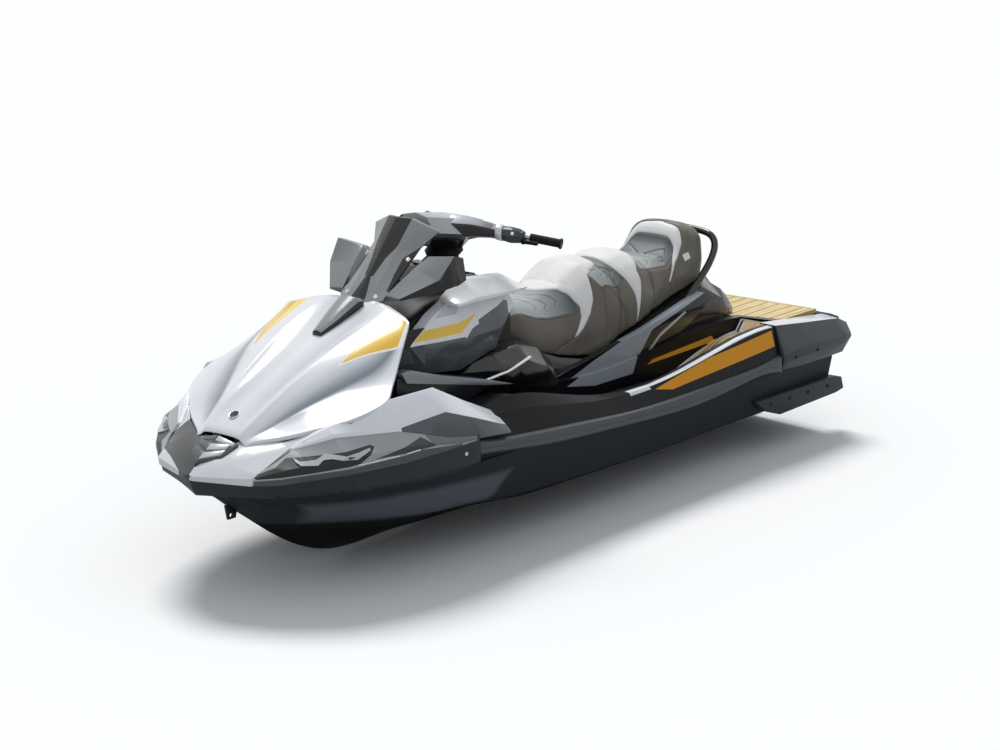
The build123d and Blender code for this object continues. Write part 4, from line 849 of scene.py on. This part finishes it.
def makeStern():
    half = stern["handle"]
    handle = tube(half + [(x, -y, z) for x, y, z in reversed(half)], stern["handleRadius"])
    # a painted highlight: the faces turned aft, outward and up take silver along the gloss black loop
    back, side, up = stern["highlightWay"]
    byFacet(handle, lambda way: way.x * back + way.z * up + abs(way.y) * side > stern["highlightFrom"])
    settle(handle, "grabLoop", [glossBlack, silverPaint], "grab_handle", True, 60.0)
    for name, node in (("cornerScrew", "stern_corners"), ("sponsonScrew", "sponsons")):
        heads = screws(stern[name + "s"], (0, 1, 0), stern[name + "Radius"])
        trim(heads, name + "s", blackPlastic, node)
    makeRiser()
    for name, node in (("trayEdge", "footwell_mats"), ("platformEdge", "deck")):
        trim(tube(stern[name], stern[name + "Radius"]), name + "s", whitePaint, node)


makeStern()
print("stern trim made")


seats = {  # seams are laid out on the unrolled cover: stations from the stern, way down from the top's centre
    "voxel": 0.0125, "shrink": 0.006, "mostSwell": 0.014, "frames": 16, "heldPercent": 18,
    "cloth": {
        "quality": 5, "mass": 0.4, "tension_stiffness": 25.0, "compression_stiffness": 25.0,
        "shear_stiffness": 10.0, "bending_stiffness": 4.0, "use_pressure": True,
        "uniform_pressure_force": 4.0, "vertex_group_mass": "hold"},
    "joins": [-0.602, -0.85], "joinReach": 0.006, "joinPush": 0.008, "joinDepth": 0.006, "joinGap": 0.0005,
    "grooveWidth": 0.004, "grooveDepth": 0.003, "creamRise": (0.004, 0.02), "insertSink": (0.003, 0.012),
    "stern": 1.78, "keel": 0.25,  # where stations and heights are measured from
    # each insert painted from dark at the cushion's front to light at its back, as painted shade and light
    "insertShading": [(0.69, 0.0), (0.92, 1.0), (1.12, 0.0), (1.3, 1.0), (1.46, 0.0), (1.66, 1.0)],
    "tag": [(-1.089, 0.593), (-1.124, 0.601), (-1.132, 0.574), (-1.099, 0.564)],
    "tops": [(0.508, 0.936), (0.56, 0.972), (0.63, 0.976), (0.715, 0.88), (0.79, 0.834), (0.928, 0.86),
             (0.932, 0.862), (1.0, 0.902), (1.064, 0.909), (1.18, 0.88), (1.262, 0.921), (1.34, 0.918),
             (1.47, 0.838), (1.62, 0.815), (1.79, 0.838), (1.885, 0.826)],
    "cream": [
        [(1.57, -0.1), (1.57, 0), (1.551, 0.04), (1.484, 0.108), (1.462, 0.16), (1.452, 0.225),
         (1.434, 0.285), (1.437, 0.336), (1.467, 0.363), (1.495, 0.397), (1.434, 0.395), (1.382, 0.37),
         (1.354, 0.33), (1.346, 0.272), (1.335, 0.195), (1.26, 0.15), (1.21, 0.1), (1.168, 0),
         (1.168, -0.1)],
        [(1.145, -0.1), (1.145, 0), (1.141, 0.106), (1.129, 0.2), (1.105, 0.282), (1.077, 0.353),
         (1.062, 0.43), (1.055, 0.5), (1.049, 0.468), (1.036, 0.386), (1.012, 0.295), (1.018, 0.237),
         (0.99, 0.18), (0.96, 0.1), (0.955, 0), (0.955, -0.1)],
        [(0.69, -0.1), (0.69, 0.08), (0.704, 0.138), (0.753, 0.187), (0.799, 0.256), (0.794, 0.267),
         (0.738, 0.209), (0.669, 0.182), (0.64, 0.12), (0.628, 0), (0.628, -0.1)]],
    "insert": [
        [(1.9, -0.1), (1.9, 0.16), (1.76, 0.19), (1.7, 0.222), (1.617, 0.239), (1.5, 0.275), (1.437, 0.3),
         (1.434, 0.285), (1.452, 0.225), (1.462, 0.16), (1.484, 0.108), (1.551, 0.04), (1.57, 0),
         (1.57, -0.1)],
        [(1.145, -0.1), (1.145, 0), (1.141, 0.106), (1.129, 0.2), (1.121, 0.249), (1.217, 0.269),
         (1.283, 0.289), (1.335, 0.195), (1.26, 0.15), (1.21, 0.1), (1.168, 0), (1.168, -0.1)],
        [(0.69, -0.1), (0.69, 0.08), (0.704, 0.138), (0.72, 0.15), (0.969, 0.19), (0.96, 0.1), (0.955, 0),
         (0.955, -0.1)]],
    "stitches": [
        [(1.288, 0.289), (1.285, 0.55)], [(1.258, 0.289), (1.199, 0.335), (1.144, 0.427), (1.117, 0.55)],
        [(1.246, 0.283), (1.187, 0.33), (1.132, 0.424), (1.105, 0.55)],
        [(1.495, 0.397), (1.561, 0.401), (1.66, 0.407)], [(0.93, 0.24), (0.925, 0.5)],
        [(1.76, 0.202), (1.705, 0.233), (1.62, 0.25), (1.503, 0.286), (1.44, 0.311)],
        [(0.74, 0.166), (0.966, 0.203)], [(1.124, 0.261), (1.217, 0.281), (1.272, 0.298)],
        [(0.794, 0.267), (0.8, 0.45)]],
    "embossed": [
        [(1.745, 0.03), (1.7, 0.075), (1.665, 0.125), (1.655, 0.165), (1.675, 0.178)],
        [(1.7, 0.0), (1.645, 0.06), (1.605, 0.12), (1.595, 0.165), (1.615, 0.182)],
        [(1.64, 0.0), (1.585, 0.06), (1.545, 0.125), (1.535, 0.175), (1.555, 0.195)],
        [(1.31, 0.165), (1.27, 0.175), (1.24, 0.205), (1.255, 0.225)],
        [(1.25, 0.13), (1.21, 0.15), (1.19, 0.19), (1.205, 0.215)],
        [(1.19, 0.06), (1.17, 0.11), (1.155, 0.165), (1.17, 0.19)],
        [(0.93, 0.02), (0.9, 0.07), (0.875, 0.12), (0.89, 0.145)],
        [(0.88, 0.02), (0.85, 0.07), (0.825, 0.12), (0.84, 0.14)],
        [(0.83, 0.02), (0.8, 0.07), (0.775, 0.115), (0.79, 0.135)],
        [(0.78, 0.02), (0.755, 0.06), (0.735, 0.1), (0.75, 0.12)]],
}


def fromLine(points, spots):  # distance of each spot from an open line
    best = None
    for a, b in zip(points, points[1:]):
        a, b = np.array(a), np.array(b)
        along = np.clip(((spots - a) @ (b - a)) / ((b - a) @ (b - a)), 0, 1)
        gap = np.linalg.norm(spots - a - along[:, None] * (b - a), axis=1)
        best = gap if best is None else np.minimum(best, gap)
    return best


def withinOutline(points, spots):  # positive inside a closed outline, negative outside
    gap = fromLine(points + points[:1], spots)
    odd = np.zeros(len(spots), bool)
    for (au, av), (bu, bv) in zip(points, points[1:] + points[:1]):
        crosses = (spots[:, 1] > av) != (spots[:, 1] > bv)
        slope = (bu - au) / (bv - av) if bv != av else 0.0
        odd ^= crosses & (spots[:, 0] < au + (spots[:, 1] - av) * slope)
    return np.where(odd, gap, -gap)


def unrolled(places):
    station = places[:, 0] + seats["stern"]
    tops = np.interp(station, [x for x, z in seats["tops"]], [z - seats["keel"] for x, z in seats["tops"]])
    down = np.maximum(0, tops - places[:, 2])
    return np.stack([station, np.abs(places[:, 1]) + down], axis=1)


def meshPlaces(mesh):
    places = np.zeros(len(mesh.vertices) * 3)
    mesh.vertices.foreach_get("co", places)
    return places.reshape(-1, 3)


def applied(piece):  # the mesh with its modifiers worked in
    graph = bpy.context.evaluated_depsgraph_get()
    mesh = bpy.data.meshes.new_from_object(piece.evaluated_get(graph))
    piece.modifiers.clear()
    piece.data = mesh
    return piece


def swollen(piece):  # air pressure puffs the cover, no point further than mostSwell
    rest = meshPlaces(piece.data)
    low = rest[:, 2] < np.percentile(rest[:, 2], seats["heldPercent"])
    hold = piece.vertex_groups.new(name="hold")
    hold.add([int(i) for i in np.nonzero(low)[0]], 1.0, "REPLACE")
    cloth = piece.modifiers.new("cloth", "CLOTH")
    for key, value in seats["cloth"].items():
        setattr(cloth.settings, key, value)
    cloth.settings.effector_weights.gravity = 0.0
    cloth.collision_settings.use_collision = False
    for step in range(1, seats["frames"] + 1):
        bpy.context.scene.frame_set(step)
    applied(piece)
    moved = meshPlaces(piece.data) - rest
    far = np.linalg.norm(moved, axis=1)
    share = seats["mostSwell"] * np.tanh(far / seats["mostSwell"]) / np.maximum(far, 1e-9)
    piece.data.vertices.foreach_set("co", (rest + moved * share[:, None]).ravel())
    bpy.context.scene.frame_set(1)


def vinylFinish():
    paint = Paint("seatVinyl")
    cream, insert, line, insertShading = [paint.attribute(name) for name in ("cream", "insert", "line", "insertShading")]
    pores = paint.field("ShaderNodeTexVoronoi", {"feature": "DISTANCE_TO_EDGE"},
                        {"Vector": paint.place, "Scale": 420.0}, "Distance")
    cloud = paint.noise(scale=5.0, detail=3.0)
    taupe = paint.blend(cloud.over(0.25, 0.75), colour["darkTaupe"], colour["taupe"])
    # the insert between its shaded and lit greys: painted shade and light along each cushion
    pad = paint.blend(insertShading, colour["padShade"], colour["padLight"])
    base = paint.blend(insert.over(-0.0006, 0.0006), taupe, pad)
    base = paint.blend(cream.over(-0.0006, 0.0006), base, colour["cream"])
    base = paint.blend(line.over(0.0028, 0.0008) * 0.6, base, colour["thread"])
    paint.set(Base_Color=base, Roughness=pores * 0.4 + 0.42, Specular_IOR_Level=0.3)
    paint.patch(finishes["tag"], "xz", seats["tag"], band=("y", 0.05, 1.0))
    paint.bump(pores.over(0.0, 0.12), strength=0.12, distance=0.0004)
    return paint


seatVinyl = vinylFinish()


def seatBlock():  # the three cushions as one, so that the covers meet along their joins
    shapes = []
    for node in ("driver_seat", "middle_seat", "rear_seat"):
        shape = outward(welded(node))
        for join in seats["joins"]:
            near = [vert for vert in shape.verts if abs(vert.co.x - join) < seats["joinReach"]]
            away = join - sum(vert.co.x for vert in shape.verts) / len(shape.verts)
            bmesh.ops.translate(shape, vec=(math.copysign(seats["joinPush"], away), 0, 0), verts=near)
        shapes.append(shape)
    mesh = bpy.data.meshes.new("seatBlock")
    whole = joined(shapes)
    whole.to_mesh(mesh)
    whole.free()
    piece = linked("seatBlock", mesh)
    blocks = piece.modifiers.new("blocks", "REMESH")
    blocks.mode, blocks.voxel_size, blocks.use_smooth_shade = "VOXEL", seats["voxel"], True
    even = piece.modifiers.new("even", "SMOOTH")
    even.factor, even.iterations = 0.5, 6
    slim = piece.modifiers.new("slim", "DISPLACE")
    slim.strength, slim.mid_level = -seats["shrink"], 0.0
    applied(piece)
    swollen(piece)
    finer = piece.modifiers.new("finer", "SUBSURF")
    finer.levels = finer.render_levels = 2
    return applied(piece)


def sewn(mesh):  # works in the seams, and notes where each colour lies
    places = meshPlaces(mesh)
    spots = unrolled(places)
    normals = np.zeros(len(mesh.vertices) * 3)
    mesh.vertices.foreach_get("normal", normals)
    normals = normals.reshape(-1, 3)
    cream = np.max([withinOutline(points, spots) for points in seats["cream"]], axis=0)
    insert = np.max([withinOutline(points, spots) for points in seats["insert"]], axis=0)
    seams = [fromLine(points, spots) for points in seats["stitches"]]
    lines = np.min(seams + [np.abs(cream), np.abs(insert)], axis=0)
    pressed = np.min([fromLine(points, spots) for points in seats["embossed"]], axis=0)
    join = np.min([np.abs(places[:, 0] - place) for place in seats["joins"]], axis=0)
    width = seats["grooveWidth"]
    lift = -seats["grooveDepth"] * (np.exp(-(lines / width) ** 2) + np.exp(-(pressed / width) ** 2))
    lift -= seats["joinDepth"] * np.exp(-(join / (width * 1.5)) ** 2)
    (rise, riseOver), (sink, sinkOver) = seats["creamRise"], seats["insertSink"]
    lift += rise * np.clip(cream / riseOver, 0, 1) - sink * np.clip(insert / sinkOver, 0, 1)
    mesh.vertices.foreach_set("co", (places + normals * lift[:, None]).ravel())
    dark = np.min([lines, pressed, join], axis=0)
    insertShading = np.interp(spots[:, 0], *zip(*seats["insertShading"]))
    for name, values in (("cream", cream), ("insert", insert), ("line", dark), ("insertShading", insertShading)):
        mesh.attributes.new(name, "FLOAT", "POINT").data.foreach_set("value", values.astype(np.float32))
    mesh.update()


def makeSeats():
    block = seatBlock()
    sewn(block.data)
    front, rear = seats["joins"]
    spans = (("driver_seat", front, None), ("middle_seat", rear, front), ("rear_seat", None, rear))
    for node, low, high in spans:
        shape = bmesh.new()
        shape.from_mesh(block.data)
        for place, side in ((low, 1), (high, -1)):
            if place is None:
                continue
            geom = shape.verts[:] + shape.edges[:] + shape.faces[:]
            cut = bmesh.ops.bisect_plane(
                shape, geom=geom, plane_co=(place + side * seats["joinGap"], 0, 0), plane_no=(-side, 0, 0),
                clear_outer=True)["geom_cut"]
            bmesh.ops.holes_fill(shape, edges=[item for item in cut if isinstance(item, bmesh.types.BMEdge)])
        piece = settle(shape, node + "Cover", seatVinyl, node, True, 60.0)
    bpy.data.objects.remove(block)


makeSeats()
print("seats made")


stageSet = {
    "keelHeight": -0.2534, "eye": (8.751, 7.302, 3.199), "yaw": -140.28, "pitch": -14.48, "roll": -0.71,
    "lens": 103.12, "sensor": 36.0, "skyStrength": 0.45, "skyTint": (0.87, 0.93, 1.0, 1.0), "floor": 60.0,
    "suns": [  # (name, direction, energy, spread in degrees, colour)
        ("keySun", (0.3, 0.42, -0.86), 2.05, 22.0, (1, 0.99, 0.97)),
        ("fillSun", (-0.6, -0.5, -0.6), 0.2, 60.0, (0.95, 0.97, 1))],
}
white = (1.0, 1.0, 1.0, 1.0)


def makeCamera():
    yaw, pitch, roll = [math.radians(stageSet[key]) for key in ("yaw", "pitch", "roll")]
    ahead = Vector((math.cos(yaw) * math.cos(pitch), math.sin(yaw) * math.cos(pitch), math.sin(pitch)))
    right = ahead.cross(Vector((0, 0, 1))).normalized()
    up = right.cross(ahead)
    rightRolled = right * math.cos(roll) + up * math.sin(roll)
    upRolled = up * math.cos(roll) - right * math.sin(roll)
    lens = bpy.data.cameras.new("camera")
    lens.lens, lens.sensor_width = stageSet["lens"], stageSet["sensor"]
    camera = linked("camera", lens)
    turn = Matrix((rightRolled, upRolled, -ahead)).transposed().to_4x4()
    camera.matrix_world = Matrix.Translation(stageSet["eye"]) @ turn
    bpy.context.scene.camera = camera


def makeLight():
    for name, way, energy, spread, tint in stageSet["suns"]:
        lamp = bpy.data.lights.new(name, "SUN")
        lamp.energy, lamp.angle, lamp.color = energy, math.radians(spread), tint
        linked(name, lamp).rotation_euler = Vector(way).to_track_quat("-Z", "Y").to_euler()

    world = bpy.data.worlds.new("studio")  # white where it is seen, softer and bluer where it lights
    bpy.context.scene.world = world
    world.use_nodes = True
    tree = world.node_tree
    tree.nodes.clear()
    rays = shaderNode(tree, "ShaderNodeLightPath")
    seen = Field(tree, rays.outputs["Is Camera Ray"]).most(Field(tree, rays.outputs["Is Glossy Ray"]))
    seen = seen.most(Field(tree, rays.outputs["Is Transmission Ray"]))
    values = {0: seen, 6: stageSet["skyTint"], 7: white}
    tint = Field(tree, shaderNode(tree, "ShaderNodeMix", {"data_type": "RGBA"}, values).outputs[2])
    strength = seen * (1 - stageSet["skyStrength"]) + stageSet["skyStrength"]
    back = shaderNode(tree, "ShaderNodeBackground", None, {"Color": tint, "Strength": strength})
    out = shaderNode(tree, "ShaderNodeOutputWorld")
    tree.links.new(back.outputs[0], out.inputs["Surface"])


def makeFloor():
    shape = bmesh.new()
    bmesh.ops.create_grid(shape, x_segments=1, y_segments=1, size=stageSet["floor"])
    bmesh.ops.translate(shape, vec=(0, 0, stageSet["keelHeight"]), verts=shape.verts)
    mesh = bpy.data.meshes.new("floor")
    shape.to_mesh(mesh)
    shape.free()
    floor = linked("floor", mesh)
    pale = Paint("paleFloor")
    rays = shaderNode(pale.tree, "ShaderNodeLightPath")
    direct = Field(pale.tree, rays.outputs["Is Camera Ray"])
    shown = pale.blend(direct, (0.6, 0.6, 0.6, 1), white)
    pale.set(Base_Color=shown, Roughness=1.0, Specular_IOR_Level=0.0)
    mesh.materials.append(pale.material)


makeCamera()
makeLight()
makeFloor()
bpy.context.scene.view_settings.view_transform = "Standard"
print("stage set")
